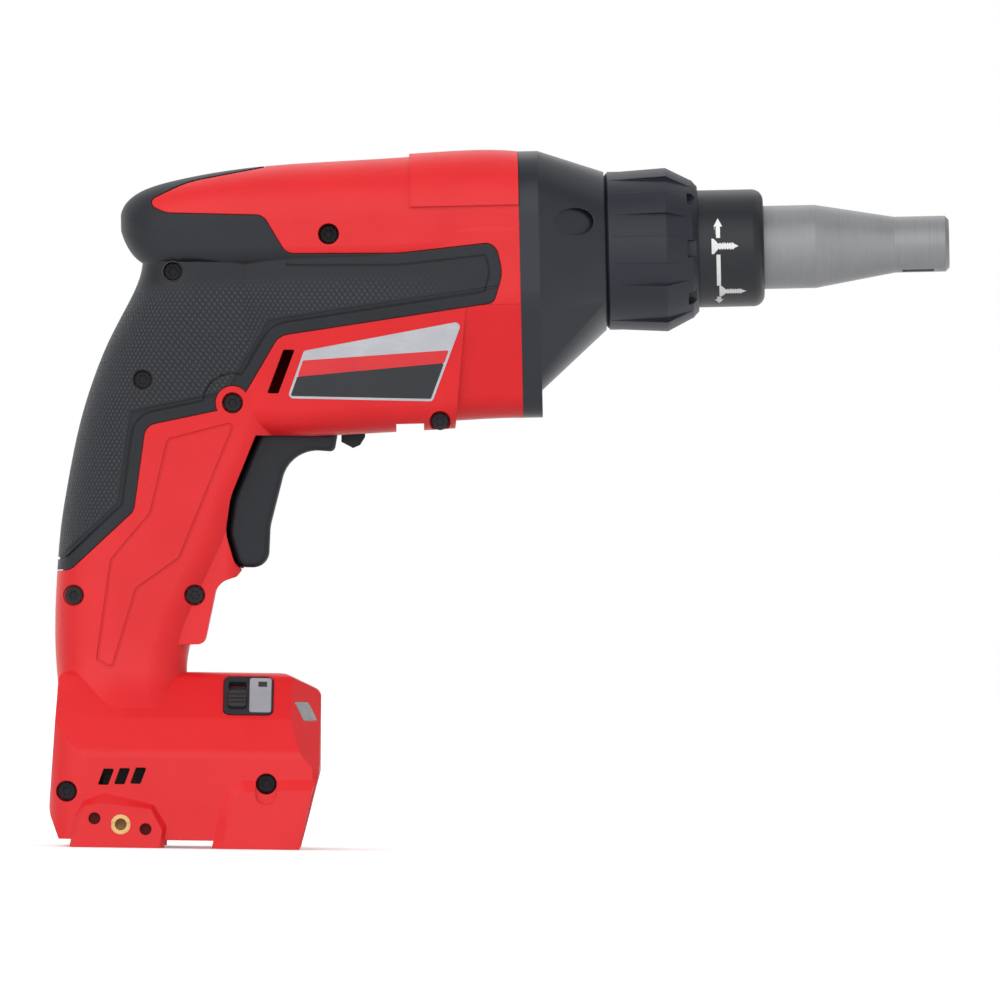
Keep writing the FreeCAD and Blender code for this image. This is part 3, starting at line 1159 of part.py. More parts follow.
def clutch_spring():
    """Light coil of flat wire that pushes the clutch disc off the gear."""
    half = SPRING_WIRE_THICKNESS / 2
    start = GEAR_FRONT + SPRING_SEAT + half
    length = CLUTCH_REAR - SPRING_SEAT - half - start
    count = round(SPRING_STEPS * SPRING_TURNS)
    spots = []
    for number in range(count + 1):
        angle = 2 * math.pi * SPRING_TURNS * number / count
        ahead = start + length * number / count
        spots.append(Vector(ahead, SPRING_RADIUS * math.cos(angle), SPRING_RADIUS * math.sin(angle)))
    path = Part.BSplineCurve()
    path.interpolate(spots)
    reach = SPRING_WIRE_WIDTH / 2
    signs = ((-1, -1), (1, -1), (1, 1), (-1, 1))
    corners = [spots[0] + ALONG * (half * x) + ACROSS * (reach * y) for x, y in signs]
    section = Part.makePolygon(corners + corners[:1])
    return Part.Wire([path.toShape()]).makePipeShell([section], True, True)


def spindle_parts():
    """Spindle, bit holder and magnet."""
    tail = PLATE_FRONT - SPINDLE_TAIL_IN_PLATE
    neck = HOLDER_REAR + SPINDLE_NECK_LENGTH
    spindle = turned([(tail, 0), (tail, SPINDLE_TAIL_RADIUS), (CLUTCH_FRONT, SPINDLE_TAIL_RADIUS),
                      (CLUTCH_FRONT, SPINDLE_RADIUS), (HOLDER_REAR, SPINDLE_RADIUS),
                      (HOLDER_REAR, SPINDLE_NECK_RADIUS), (neck, SPINDLE_NECK_RADIUS), (neck, 0)])
    groove = HOLDER_FRONT - HEX_DEPTH
    groove_end = groove + HOLDER_GROOVE_WIDTH
    groove_floor = HOLDER_RADIUS - HOLDER_GROOVE
    holder = turned([
        (HOLDER_REAR, 0), (HOLDER_REAR, HOLDER_RADIUS), (groove, HOLDER_RADIUS),
        (groove, groove_floor), (groove_end, groove_floor),
        (groove_end, HOLDER_RADIUS), (HOLDER_FRONT - HOLDER_CHAMFER, HOLDER_RADIUS),
        (HOLDER_FRONT, HOLDER_RADIUS - HOLDER_CHAMFER), (HOLDER_FRONT, 0),
    ])
    corner = (HEX_FLATS / 2 + HEX_CLEARANCE) / math.cos(math.pi / 6)
    points = [Vector(groove, corner * math.cos(math.pi / 3 * number), corner * math.sin(math.pi / 3 * number))
              for number in range(6)]
    holder = holder.cut(prism(Part.makePolygon(points + points[:1]), ALONG * HEX_DEPTH))
    holder = holder.cut(disc(SPINDLE_NECK_RADIUS, HOLDER_REAR, neck))
    magnet = disc(MAGNET_RADIUS, groove - MAGNET_LENGTH, groove)
    return spindle, holder.cut(magnet), magnet


# Gear case and nose


def case_loop(x, corners, rounds, inset):
    """Section of the gear case from its right half corners."""
    right = [Vector(x, -y, z) for y, z in corners]
    left = [Vector(x, y, z) for y, z in reversed(corners)]
    return rounded_loop(right + left, rounds + rounds[::-1], inset)


def flange_loop(x, inset, rise):
    """Section of the seam up to a rise, shared by gear case, rim and bearing plate."""
    half = BARREL_WIDTH / 2
    base_half = BELLY_BASE_WIDTH / 2 - BASE_TRIM
    corners = [(half, rise), (half, -BELLY_SHOULDER), (base_half, BASE_TRIM - BELLY_DROP)]
    rounds = [SHOULDER_ROUND, BELLY_SIDE_ROUND, BELLY_BASE_ROUND]
    return case_loop(x, corners, rounds, inset)


def case_form(inset):
    """Outside of the gear case: flange and taper, drawn in by an inset."""
    flange_end = SEAM_AHEAD + CASE_FLANGE
    flange = prism(flange_loop(SEAM_AHEAD, inset, BARREL_RISE + TOP_BAND_RISE), ALONG * CASE_FLANGE)
    half = BARREL_WIDTH / 2
    rear = [(half, BARREL_RISE + TOP_BAND_RISE), (half, -BELLY_SHOULDER),
            (BELLY_BASE_WIDTH * CASE_TAPER_BASE_SHARE, -CASE_TAPER_DROP)]
    rear_rounds = [BARREL_WIDTH * share for share in CASE_ROUND_SHARES]
    front = [(COLLAR_REAR_RADIUS * y, COLLAR_REAR_RADIUS * z) for y, z in CASE_FACE_SHARES]
    front_rounds = [COLLAR_REAR_RADIUS * CASE_FRONT_ROUND_SHARE] * len(front)
    sections = [case_loop(flange_end, rear, rear_rounds, inset),
                case_loop(CASE_FRONT, front, front_rounds, inset)]
    return flange.fuse(Part.makeLoft(sections, True, True))


def plate_screw_places():
    """Centres of the bearing plate's screws, across the spindle line."""
    return [(BARREL_WIDTH * y, BARREL_RISE * z) for y, z in PLATE_SCREW_SHARES]


def gear_case():
    """Gear case with its rim, gear chamber, side dishes and front tube."""
    solid = case_form(0.0)
    dish_x = SEAM_AHEAD + CASE_LENGTH * DISH_SHARES[0]
    dish_z = BARREL_RISE * DISH_SHARES[1]
    oval = Part.Ellipse(Vector(dish_x, -OVERRUN, dish_z), DISH_LENGTH / 2, DISH_HEIGHT / 2)
    oval.Axis = ACROSS
    dish = prism(Part.Wire(oval.toShape()), ACROSS * OVERRUN * 2)
    solid = solid.cut(dish.cut(case_form(DISH_DEPTH)))
    rim_outer = WALL + SHELL_GAP
    rim_rear = SEAM_AHEAD - SKIRT_LENGTH
    skirt = prism(flange_loop(rim_rear, rim_outer, BARREL_RISE), ALONG * (SKIRT_LENGTH + CASE_FLANGE / 2))
    tube = disc(SPIGOT_RADIUS, CASE_FRONT - CASE_FRONT_WALL, CASE_FRONT + SPIGOT_LENGTH)
    solid = fuse_all([solid, skirt, tube])
    mouth_loop = flange_loop(rim_rear, rim_outer + SKIRT_WALL, BARREL_RISE)
    mouth = prism(mouth_loop, ALONG * (SKIRT_LENGTH + BEARING_WIDTH))
    gear_room = TOOTH_MODULE * GEAR_TEETH / 2 + TOOTH_MODULE + CHAMBER_CLEARANCE
    pinion_room = TOOTH_MODULE * PINION_TEETH / 2 + TOOTH_MODULE + CHAMBER_CLEARANCE
    chamber = disc(gear_room, SEAM_AHEAD, CHAMBER_FRONT)
    pinion_hole = disc(pinion_room, SEAM_AHEAD, GEAR_FRONT + PINION_OVERHANG + CHAMBER_CLEARANCE, MOTOR_DROP)
    bush_end = CHAMBER_FRONT + FRONT_BUSH_LENGTH
    bush = disc(FRONT_BUSH_RADIUS, CHAMBER_FRONT, bush_end)
    bore = disc(SPIGOT_BORE_RADIUS, bush_end, CASE_FRONT + SPIGOT_LENGTH)
    clip_rear = COLLAR_REAR + COLLAR_REAR_WALL + RUNNING_FIT
    clip_groove = ring(SPIGOT_RADIUS, SPIGOT_RADIUS - CLIP_DEPTH, clip_rear, clip_rear + CLIP_WIDTH)
    solid = solid.cut([mouth, chamber, pinion_hole, bush, bore, clip_groove])
    holes = [rod(PLATE_SCREW_RADIUS, Vector(PLATE_FRONT, y, z), Vector(PLATE_FRONT + PLATE_SCREW_REACH, y, z))
             for y, z in plate_screw_places()]
    return solid.cut(holes)


def bearing_plate():
    """Plate behind the gears that holds the rear ends of both lines, and its screws."""
    inset = WALL + SHELL_GAP + SKIRT_WALL + SEAT_GAP
    plate = prism(flange_loop(SEAM_AHEAD, inset, BARREL_RISE), ALONG * BEARING_WIDTH)
    cuts = [disc(BEARING_RADIUS, SEAM_AHEAD, PLATE_FRONT, MOTOR_DROP),
            disc(REAR_BUSH_RADIUS, SEAM_AHEAD, PLATE_FRONT)]
    screws = []
    seat = SEAM_AHEAD + PLATE_SCREW_HEAD_HEIGHT
    for y, z in plate_screw_places():
        head = rod(PLATE_SCREW_HEAD_RADIUS, Vector(SEAM_AHEAD, y, z), Vector(seat, y, z))
        shank = rod(PLATE_SCREW_RADIUS, Vector(seat, y, z), Vector(PLATE_FRONT + PLATE_SCREW_REACH, y, z))
        screws.append(head.fuse(shank).removeSplitter())
        head_room = PLATE_SCREW_HEAD_RADIUS + SEAT_GAP
        cuts.append(rod(head_room, Vector(SEAM_AHEAD, y, z), Vector(seat, y, z)))
        cuts.append(rod(PLATE_SCREW_RADIUS + SEAT_GAP, Vector(seat, y, z), Vector(PLATE_FRONT, y, z)))
    return plate.cut(cuts), Part.makeCompound(screws)


def depth_collar():
    """Ribbed ring that sets the depth."""
    pads_end = COLLAR_REAR + COLLAR_STRAIGHT
    chamfer_end = pads_end + COLLAR_CHAMFER_LENGTH
    mouth = SLEEVE_RADIUS + COLLAR_WALL
    inner_rear = COLLAR_REAR + COLLAR_REAR_WALL
    hub = SPIGOT_RADIUS + RUNNING_FIT
    base = turned([
        (COLLAR_REAR, hub), (COLLAR_REAR, COLLAR_REAR_RADIUS - COLLAR_EDGE),
        (COLLAR_REAR + COLLAR_EDGE, COLLAR_REAR_RADIUS), (pads_end, COLLAR_REAR_RADIUS),
        (chamfer_end, COLLAR_CHAMFER_RADIUS), (COLLAR_FRONT, mouth + COLLAR_EDGE), (COLLAR_FRONT, mouth),
        (inner_rear, mouth), (inner_rear, hub),
    ])
    pieces = [base]
    step = 360 / COLLAR_PADS
    for number in range(COLLAR_PADS):
        outline = [Vector(COLLAR_REAR + COLLAR_EDGE, 0, COLLAR_REAR_RADIUS),
                   Vector(pads_end, 0, COLLAR_REAR_RADIUS + COLLAR_PAD_RISE),
                   Vector(chamfer_end, 0, COLLAR_CHAMFER_RADIUS),
                   Vector(pads_end, 0, COLLAR_CHAMFER_RADIUS)]
        pad = Part.Face(Part.makePolygon(outline + outline[:1])).revolve(MIDDLE, ALONG, COLLAR_PAD_ANGLE)
        pieces.append(spun(pad, step * number + 90 - COLLAR_PAD_ANGLE / 2))
    solid = fuse_all(pieces)
    notch_rear = COLLAR_FRONT - COLLAR_NOTCH_LENGTH
    notch_floor = COLLAR_CHAMFER_RADIUS - COLLAR_NOTCH_DEPTH
    notches = [sector(notch_floor, COLLAR_REAR_RADIUS, notch_rear, COLLAR_FRONT, COLLAR_NOTCH_ANGLE,
                      360 / COLLAR_NOTCHES * number + 90) for number in range(COLLAR_NOTCHES)]
    return solid.cut(notches)


def collar_clip():
    """Open clip in the tube's groove, in front of the collar's rear wall."""
    rear = COLLAR_REAR + COLLAR_REAR_WALL + RUNNING_FIT
    inner = SPIGOT_RADIUS - CLIP_DEPTH
    return sector(inner, inner + CLIP_RISE, rear, rear + CLIP_WIDTH, 360 - CLIP_OPENING, 0)


def depth_sleeve():
    """Sleeve that the collar moves along the tube; it carries the nose."""
    slide = SPIGOT_RADIUS + RUNNING_FIT
    socket_rear = SLEEVE_FRONT - NOSE_PLUG_LENGTH - MOVING_GAP
    socket = NOSE_RADIUS + RUNNING_FIT
    body = turned([
        (SLEEVE_REAR, slide), (SLEEVE_REAR, SLEEVE_RADIUS), (SLEEVE_FRONT, SLEEVE_RADIUS),
        (SLEEVE_FRONT, socket), (socket_rear, socket), (socket_rear, slide),
    ])
    rim = [edge for edge in body.Edges
           if abs(edge.CenterOfMass.x - SLEEVE_FRONT) < RUNNING_FIT
           and edge.BoundBox.ZLength > SLEEVE_RADIUS * 2 - AIR_GAP]
    return body.makeFillet(SLEEVE_FRONT_ROUND, rim)


def nose_parts():
    """Nose cone with its plug, bore and slot, and the O-ring on the plug."""
    rear = SLEEVE_FRONT - NOSE_PLUG_LENGTH
    taper = SLEEVE_FRONT + NOSE_STRAIGHT
    tip_rear = taper + NOSE_TAPER
    bore_rear = NOSE_TIP - NOSE_BORE_LENGTH
    room = NOSE_RADIUS - NOSE_WALL
    body = turned([
        (rear, room), (rear, NOSE_RADIUS), (taper, NOSE_RADIUS), (tip_rear, NOSE_TIP_RADIUS),
        (NOSE_TIP - NOSE_TIP_ROUND, NOSE_TIP_RADIUS), (NOSE_TIP, NOSE_TIP_RADIUS - NOSE_TIP_ROUND),
        (NOSE_TIP, NOSE_BORE_RADIUS), (bore_rear, NOSE_BORE_RADIUS), (taper, room),
    ])
    groove_x = rear + NOSE_PLUG_LENGTH * O_RING_SHARE
    seal = Part.makeTorus(NOSE_RADIUS - O_RING_RADIUS, O_RING_RADIUS, Vector(groove_x, 0, 0), ALONG)
    groove_half = O_RING_RADIUS + RUNNING_FIT
    groove = ring(OVERRUN, NOSE_RADIUS - groove_half * 2, groove_x - groove_half, groove_x + groove_half)
    body = body.cut(groove)
    slot_front = NOSE_TIP - NOSE_SLOT_BEHIND
    half = NOSE_SLOT_WIDTH / 2
    slot = block(Vector(slot_front - NOSE_SLOT_LENGTH, -half, -OVERRUN), Vector(slot_front, half, 0))
    return body.cut(spun(slot, -NOSE_SLOT_TURN)), seal


# Housing halves and soft grip


def screw_places():
    """Screw centres in the side view, with the seat's distance from the middle plane."""
    return [place(x, z) + (GRIP_WIDTH * seat,) for x, z, seat in SCREW_SHARES]


def housing_screws():
    """Nine screws of one kind, with six-lobed drives."""
    screws = []
    for x, z, seat in screw_places():
        head_top = -seat - SCREW_HEAD_HEIGHT
        head = across_rod(SCREW_HEAD_RADIUS, x, z, -seat, head_top)
        shank = across_rod(SCREW_SHANK_RADIUS, x, z, -seat, SCREW_REACH)
        points = []
        for number in range(SCREW_DRIVE_LOBES * 2):
            radius = SCREW_DRIVE_RADIUS * (SCREW_DRIVE_SHARE if number % 2 else 1)
            angle = math.pi / SCREW_DRIVE_LOBES * number
            points.append(Vector(x + radius * math.cos(angle), head_top, z + radius * math.sin(angle)))
        drive = prism(Part.makePolygon(points + points[:1]), ACROSS * SCREW_DRIVE_DEPTH)
        screws.append(head.fuse(shank).removeSplitter().cut(drive))
    return Part.makeCompound(screws)


def screw_cuts():
    """Head pockets and shank holes through the bosses."""
    cuts = []
    for x, z, seat in screw_places():
        cuts.append(across_rod(SCREW_HEAD_RADIUS + SCREW_POCKET_CLEARANCE, x, z, -seat, -OVERRUN))
        cuts.append(across_rod(SCREW_SHANK_RADIUS + SEAT_GAP, x, z, -seat, SCREW_REACH + SEAT_GAP))
    return cuts


def inner_supports():
    """Ribs, bosses and solid floors that stay inside the shell."""
    boss = SCREW_HEAD_RADIUS + SCREW_POCKET_CLEARANCE + SCREW_BOSS_WALL
    keep = [across_rod(boss, x, z, -OVERRUN, OVERRUN) for x, z, _ in screw_places()]
    wide = Vector(0, OVERRUN, OVERRUN)

    def cross_rib(start, end):
        return on_spindle(block(Vector(start, 0, 0) - wide, Vector(end, 0, 0) + wide))

    keep.append(cross_rib(STATOR_FRONT - RIB, STATOR_FRONT))
    keep.append(cross_rib(STATOR_REAR, STATOR_REAR + RIB))
    bearing_rear = REAR_BEARING_FRONT - BEARING_WIDTH
    keep.append(cross_rib(bearing_rear - RIB, bearing_rear))
    boss_radius = BEARING_RADIUS + BEARING_BOSS_WALL
    keep.append(on_spindle(disc(boss_radius, bearing_rear, REAR_BEARING_FRONT, MOTOR_DROP)))
    front = -BACK_REACH * SWITCH_FRONT_SHARE
    low = SPINDLE_HEIGHT * SWITCH_BASE_SHARE
    high = SPINDLE_HEIGHT * SWITCH_TOP_SHARE
    for base, top in ((low - RIB, low), (high, high + RIB)):
        keep.append(block(Vector(-OVERRUN, -OVERRUN, base), Vector(front, OVERRUN, top)))
    floor_top = SLIDE_HEIGHT + SLIDE_ROOF
    keep.append(block(Vector(-OVERRUN, -OVERRUN, 0), Vector(OVERRUN, OVERRUN, floor_top)))
    module_rear = -BACK_REACH * MODULE_REAR_SHARE
    for x in (module_rear + RIB, module_rear + MODULE_LENGTH - RIB * 2):
        keep.append(block(Vector(x, -OVERRUN, 0), Vector(x + RIB, OVERRUN, MODULE_BASE)))
    return keep


def inner_cuts():
    """Seats in the supports for the motor, its bearing and the wires."""
    cuts = [on_spindle(disc(STATOR_RADIUS + SEAT_GAP, STATOR_REAR - RIB, STATOR_FRONT + RIB, MOTOR_DROP))]
    bearing_rear = REAR_BEARING_FRONT - BEARING_WIDTH
    cuts.append(on_spindle(disc(BEARING_RADIUS, bearing_rear, REAR_BEARING_FRONT, MOTOR_DROP)))
    shaft_room = SHAFT_RADIUS + MOVING_GAP
    cuts.append(on_spindle(disc(shaft_room, bearing_rear - RIB, REAR_BEARING_FRONT, MOTOR_DROP)))
    gate_front = -BACK_REACH * SWITCH_FRONT_SHARE - SWITCH_LENGTH + SWITCH_ROUND
    half = WIRE_GATE_WIDTH / 2
    low = SPINDLE_HEIGHT * SWITCH_BASE_SHARE - RIB
    high = SPINDLE_HEIGHT * SWITCH_TOP_SHARE + RIB
    cuts.append(block(Vector(gate_front - WIRE_GATE_LENGTH, -half, low), Vector(gate_front, half, high)))
    return cuts


def soft_grip_zone(inset):
    """Side-view zone of the soft grip, drawn in by an inset."""
    points = [place(x, z) for x, z, _ in GRIP_OUTLINE_SHARES]
    rounds = [BACK_REACH * share for _, _, share in GRIP_OUTLINE_SHARES]
    zone = side_prism(points, rounds, inset)
    x, z, _ = screw_places()[RINGED_SCREW]
    boss = SCREW_HEAD_RADIUS + SCREW_POCKET_CLEARANCE + SCREW_BOSS_WALL + inset
    return zone.cut(across_rod(boss, x, z, -OVERRUN, OVERRUN))


def grip_line():
    """Zone of the sunk line along the border of the soft grip."""
    line = soft_grip_zone(GRIP_LINE_INSET).cut(soft_grip_zone(GRIP_LINE_INSET + GRIP_LINE_WIDTH))
    x, z = place(*GRIP_BAND_SHARES)
    below = block(Vector(-OVERRUN, -OVERRUN, 0), Vector(OVERRUN, OVERRUN, z))
    ahead = block(Vector(x, -OVERRUN, 0), Vector(OVERRUN, OVERRUN, OVERRUN))
    return line.common(below.fuse(ahead))


def panel_line():
    """Zone of the sunk line around the panel on the handle."""
    points = [place(x, z) for x, z, _ in PANEL_LINE_SHARES]
    rounds = [BACK_REACH * share for _, _, share in PANEL_LINE_SHARES]
    return side_prism(points, rounds).cut(side_prism(points, rounds, PANEL_LINE_WIDTH))


def rail_screw_run():
    """Sunk run in the right rail pad below its screw."""
    x, z, _ = screw_places()[RAIL_SCREW]
    floor = -FOOT_WIDTH / 2 - PAD_RISE + RAIL_RUN_DEPTH
    radius = SCREW_HEAD_RADIUS + SCREW_POCKET_CLEARANCE
    end = across_rod(radius, x, z - RAIL_RUN_LENGTH, floor, -OVERRUN)
    run = block(Vector(x - radius, -OVERRUN, z - RAIL_RUN_LENGTH), Vector(x + radius, floor, z))
    return end.fuse(run)


def housing():
    """Both halves of the housing and the soft grip on each."""
    outer = housing_form(0.0, 0.0)
    band_low = on_spindle(block(
        Vector(SEAM_AHEAD - TOP_BAND_LENGTH, -OVERRUN, BARREL_RISE - TOP_BAND_DROP),
        Vector(SEAM_AHEAD, OVERRUN, OVERRUN)))
    band = pod(-TOP_BAND_RISE).common(band_low)
    hook_pads = side_pads(HOOK_PAD_BASE_SHARES, HOOK_PAD_FACE_SHARES)
    rail_pads = side_pads(RAIL_PAD_BASE_SHARES, RAIL_PAD_FACE_SHARES)
    outer = outer.fuse([band] + hook_pads + rail_pads)
    trim_points = [(BACK_REACH * x, BELLY_DROP * z) for x, z in TRIM_ZONE_SHARES]
    trim_zone = on_spindle(side_prism(trim_points))
    outer = outer.cut(trim_zone.cut(belly(0.0, BASE_TRIM)))
    start, end, roof = NOTCH_SHARES
    notch = [(BACK_REACH * start, BELLY_DROP * roof), (BACK_REACH * end, BELLY_DROP * roof),
             (BACK_REACH * end, -OVERRUN), (BACK_REACH * start, -OVERRUN)]
    outer = outer.cut(on_spindle(side_prism(notch)))

    lever, pin, lever_slot, lever_bridge = reversing_lever()
    bezel, slider, mode_pocket = mode_switch()
    lenses, boards, light_pockets, light_seats = work_lights()
    inserts, insert_holes = hook_inserts()

    room = housing_form(WALL, BASE_TRIM)
    room = room.cut(inner_supports() + [lever_bridge] + light_seats)
    shell = outer.cut(room)
    cuts = inner_cuts() + trigger_cuts() + screw_cuts() + insert_holes + light_pockets
    cuts = cuts + [slide_cut(), mode_pocket, lever_slot, pin, rail_screw_run()]
    cuts = cuts + [panel_line().cut(handle(PANEL_LINE_DEPTH))]
    cuts = cuts + [leaning_slot(*place(x, z), FOOT_VENT_WIDTH, FOOT_VENT_HEIGHT) for x, z in FOOT_VENT_SHARES]
    shell = shell.cut(cuts + barrel_vents())

    skin_core = housing_form(GRIP_SKIN, 0.0)
    zone = soft_grip_zone(0.0)
    shell = shell.cut(zone.cut(skin_core))
    skin = housing_form(0.0, 0.0).common(soft_grip_zone(GRIP_SEAM))
    skin = skin.cut([skin_core, grip_line().cut(housing_form(GRIP_LINE_DEPTH, 0.0))] + screw_cuts())

    return {
        "housing_right": split_half(shell, -1),
        "housing_left": split_half(shell, 1),
        "grip_right": split_half(skin, -1),
        "grip_left": split_half(skin, 1),
        "housing_screws": housing_screws(),
        "belt_hook_inserts": inserts,
        "mode_switch_bezel": bezel,
        "mode_switch_slider": slider,
        "work_light_lenses": lenses,
        "work_light_boards": boards,
        "reversing_lever": lever,
        "lever_pin": pin,
    }


# All pieces


def handle_pieces():
    """Pieces inside the handle and the foot, by name."""
    terminal_block, battery_terminals = terminals()
    return {
        "trigger": trigger_piece(),
        "switch_plunger": plunger_rod(PLUNGER_RADIUS),
        "switch_body": switch_body(),
        "control_module": control_module(),
        "terminal_block": terminal_block,
        "battery_terminals": battery_terminals,
    }


def drive_pieces():
    """Pieces of the drive and the nose, by name, on the leaning spindle line."""
    shaft, pinion, core, board, front_bearing, rear_bearing = motor_parts()
    stator, windings = stator_parts()
    plate, plate_screws = bearing_plate()
    spindle, holder, magnet = spindle_parts()
    nose, seal = nose_parts()
    bush_end = CHAMBER_FRONT + FRONT_BUSH_LENGTH
    washer_front = CLUTCH_FRONT + WASHER_THICKNESS
    spindle_room = SPINDLE_RADIUS + RUNNING_FIT
    tail_room = SPINDLE_TAIL_RADIUS + RUNNING_FIT
    drive = {
        "motor_stator": stator,
        "motor_windings": windings,
        "sensor_board": board,
        "rotor_core": core,
        "motor_shaft": shaft,
        "cooling_fan": cooling_fan(),
        "motor_pinion": pinion,
        "rotor_bearing_front": front_bearing,
        "rotor_bearing_rear": rear_bearing,
        "bearing_plate": plate,
        "plate_screws": plate_screws,
        "gear_case": gear_case(),
        "output_gear": output_gear(),
        "clutch_plate": clutch_plate(),
        "clutch_spring": clutch_spring(),
        "thrust_washer": ring(WASHER_RADIUS, spindle_room, CLUTCH_FRONT, washer_front),
        "spindle": spindle,
        "spindle_bush_front": ring(FRONT_BUSH_RADIUS, spindle_room, CHAMBER_FRONT, bush_end),
        "spindle_bush_rear": ring(REAR_BUSH_RADIUS, tail_room, SEAM_AHEAD, PLATE_FRONT),
        "bit_holder": holder,
        "bit_magnet": magnet,
        "depth_collar": depth_collar(),
        "collar_clip": collar_clip(),
        "depth_sleeve": depth_sleeve(),
        "nose_cone": nose,
        "nose_o_ring": seal,
    }
    return {name: on_spindle(shape) for name, shape in drive.items()}


def main():
    """Build every piece and write one STEP file for each."""
    pieces = {**housing(), **handle_pieces(), **drive_pieces()}
    os.makedirs("parts", exist_ok=True)
    for name, shape in pieces.items():
        shape.exportStep(os.path.join("parts", name + ".step"))


main()
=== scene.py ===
"""Looks of a cordless drywall screwdriver, dressed around its fixed frame.

The solids of the frame keep their shapes and get their finishes here. Thin
pieces that the solids leave out, such as foils, prints and lips, are made as
meshes, and each one rides on the body that carries it. Lengths are in metres
and angles in degrees.
"""

from __future__ import annotations

import json
import logging
import math
from abc import ABC, abstractmethod
from collections.abc import Callable, Iterator, Sequence
from dataclasses import dataclass
from enum import Enum
from typing import Any, Union

import bmesh
import bpy
from mathutils import Matrix, Vector
from mathutils.bvhtree import BVHTree

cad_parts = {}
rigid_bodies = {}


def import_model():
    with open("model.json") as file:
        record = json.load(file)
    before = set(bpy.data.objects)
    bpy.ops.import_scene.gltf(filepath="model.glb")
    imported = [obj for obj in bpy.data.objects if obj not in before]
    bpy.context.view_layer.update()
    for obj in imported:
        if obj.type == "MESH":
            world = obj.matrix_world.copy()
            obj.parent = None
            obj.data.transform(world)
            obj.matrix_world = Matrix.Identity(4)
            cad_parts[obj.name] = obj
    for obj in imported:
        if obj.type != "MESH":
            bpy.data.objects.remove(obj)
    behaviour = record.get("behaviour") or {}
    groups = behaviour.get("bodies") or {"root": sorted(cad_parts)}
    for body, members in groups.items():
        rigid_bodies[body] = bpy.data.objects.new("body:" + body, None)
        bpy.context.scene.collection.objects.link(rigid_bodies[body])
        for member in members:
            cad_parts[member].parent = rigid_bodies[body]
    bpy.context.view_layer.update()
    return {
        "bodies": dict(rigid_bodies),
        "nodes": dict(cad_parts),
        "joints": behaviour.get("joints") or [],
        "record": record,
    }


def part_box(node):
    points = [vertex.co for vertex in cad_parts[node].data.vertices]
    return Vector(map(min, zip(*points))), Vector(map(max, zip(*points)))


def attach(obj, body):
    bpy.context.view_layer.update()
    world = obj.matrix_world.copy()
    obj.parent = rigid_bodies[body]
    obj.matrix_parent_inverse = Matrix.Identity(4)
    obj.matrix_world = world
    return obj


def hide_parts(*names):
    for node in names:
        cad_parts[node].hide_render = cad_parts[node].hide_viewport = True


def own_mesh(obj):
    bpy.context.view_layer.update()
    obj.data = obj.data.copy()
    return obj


LOG = logging.getLogger("screwdriver")
MM = 0.001

Colour = tuple[float, float, float]
Triple = tuple[float, float, float]
Point = tuple[float, float]
Frame = dict[str, Any]
Layer = Callable[[float, float, float], Vector]
Value = Union["Signal", float, int, Sequence[float]]

UP = Vector((0.0, 0.0, 1.0))

# layers of finer detail in a noise, and rays that feel for an edge
SOME_LAYERS = 3.0
FINE_LAYERS = 4.0
EDGE_RAYS = 4

# low and high ends of the steps that turn noise or angles into masks
SOFT_STEP = (0.3, 0.75)
EVEN_STEP = (0.3, 0.7)
HIGH_STEP = (0.35, 0.7)
EDGE_STEP = (0.01, 0.25)


class Join(Enum):
    """How two masks or distances are joined."""

    BOTH = "MINIMUM"
    EITHER = "MAXIMUM"


class Side(Enum):
    """Side of the tool that a piece is laid on, as the direction into it."""

    RIGHT = (0.0, 1.0, 0.0)
    LEFT = (0.0, -1.0, 0.0)
    REAR = (1.0, 0.0, 0.0)


class Body(Enum):
    """Body of the frame that carries a new piece."""

    HOUSING = "housing"
    TRIGGER = "trigger"
    GEAR = "gear"
    COLLAR = "collar"
    SLEEVE = "sleeve"


class Slot(Enum):
    """Material slot of the record that a new piece belongs to."""

    ALLOY = "alloy"
    BLACK_PLASTIC = "black_plastic"
    BRASS = "brass"
    RED_HOUSING = "red_housing"
    SOFT_GRIP = "soft_grip"
    STEEL = "steel"
    SWITCH_GREY = "switch_grey"


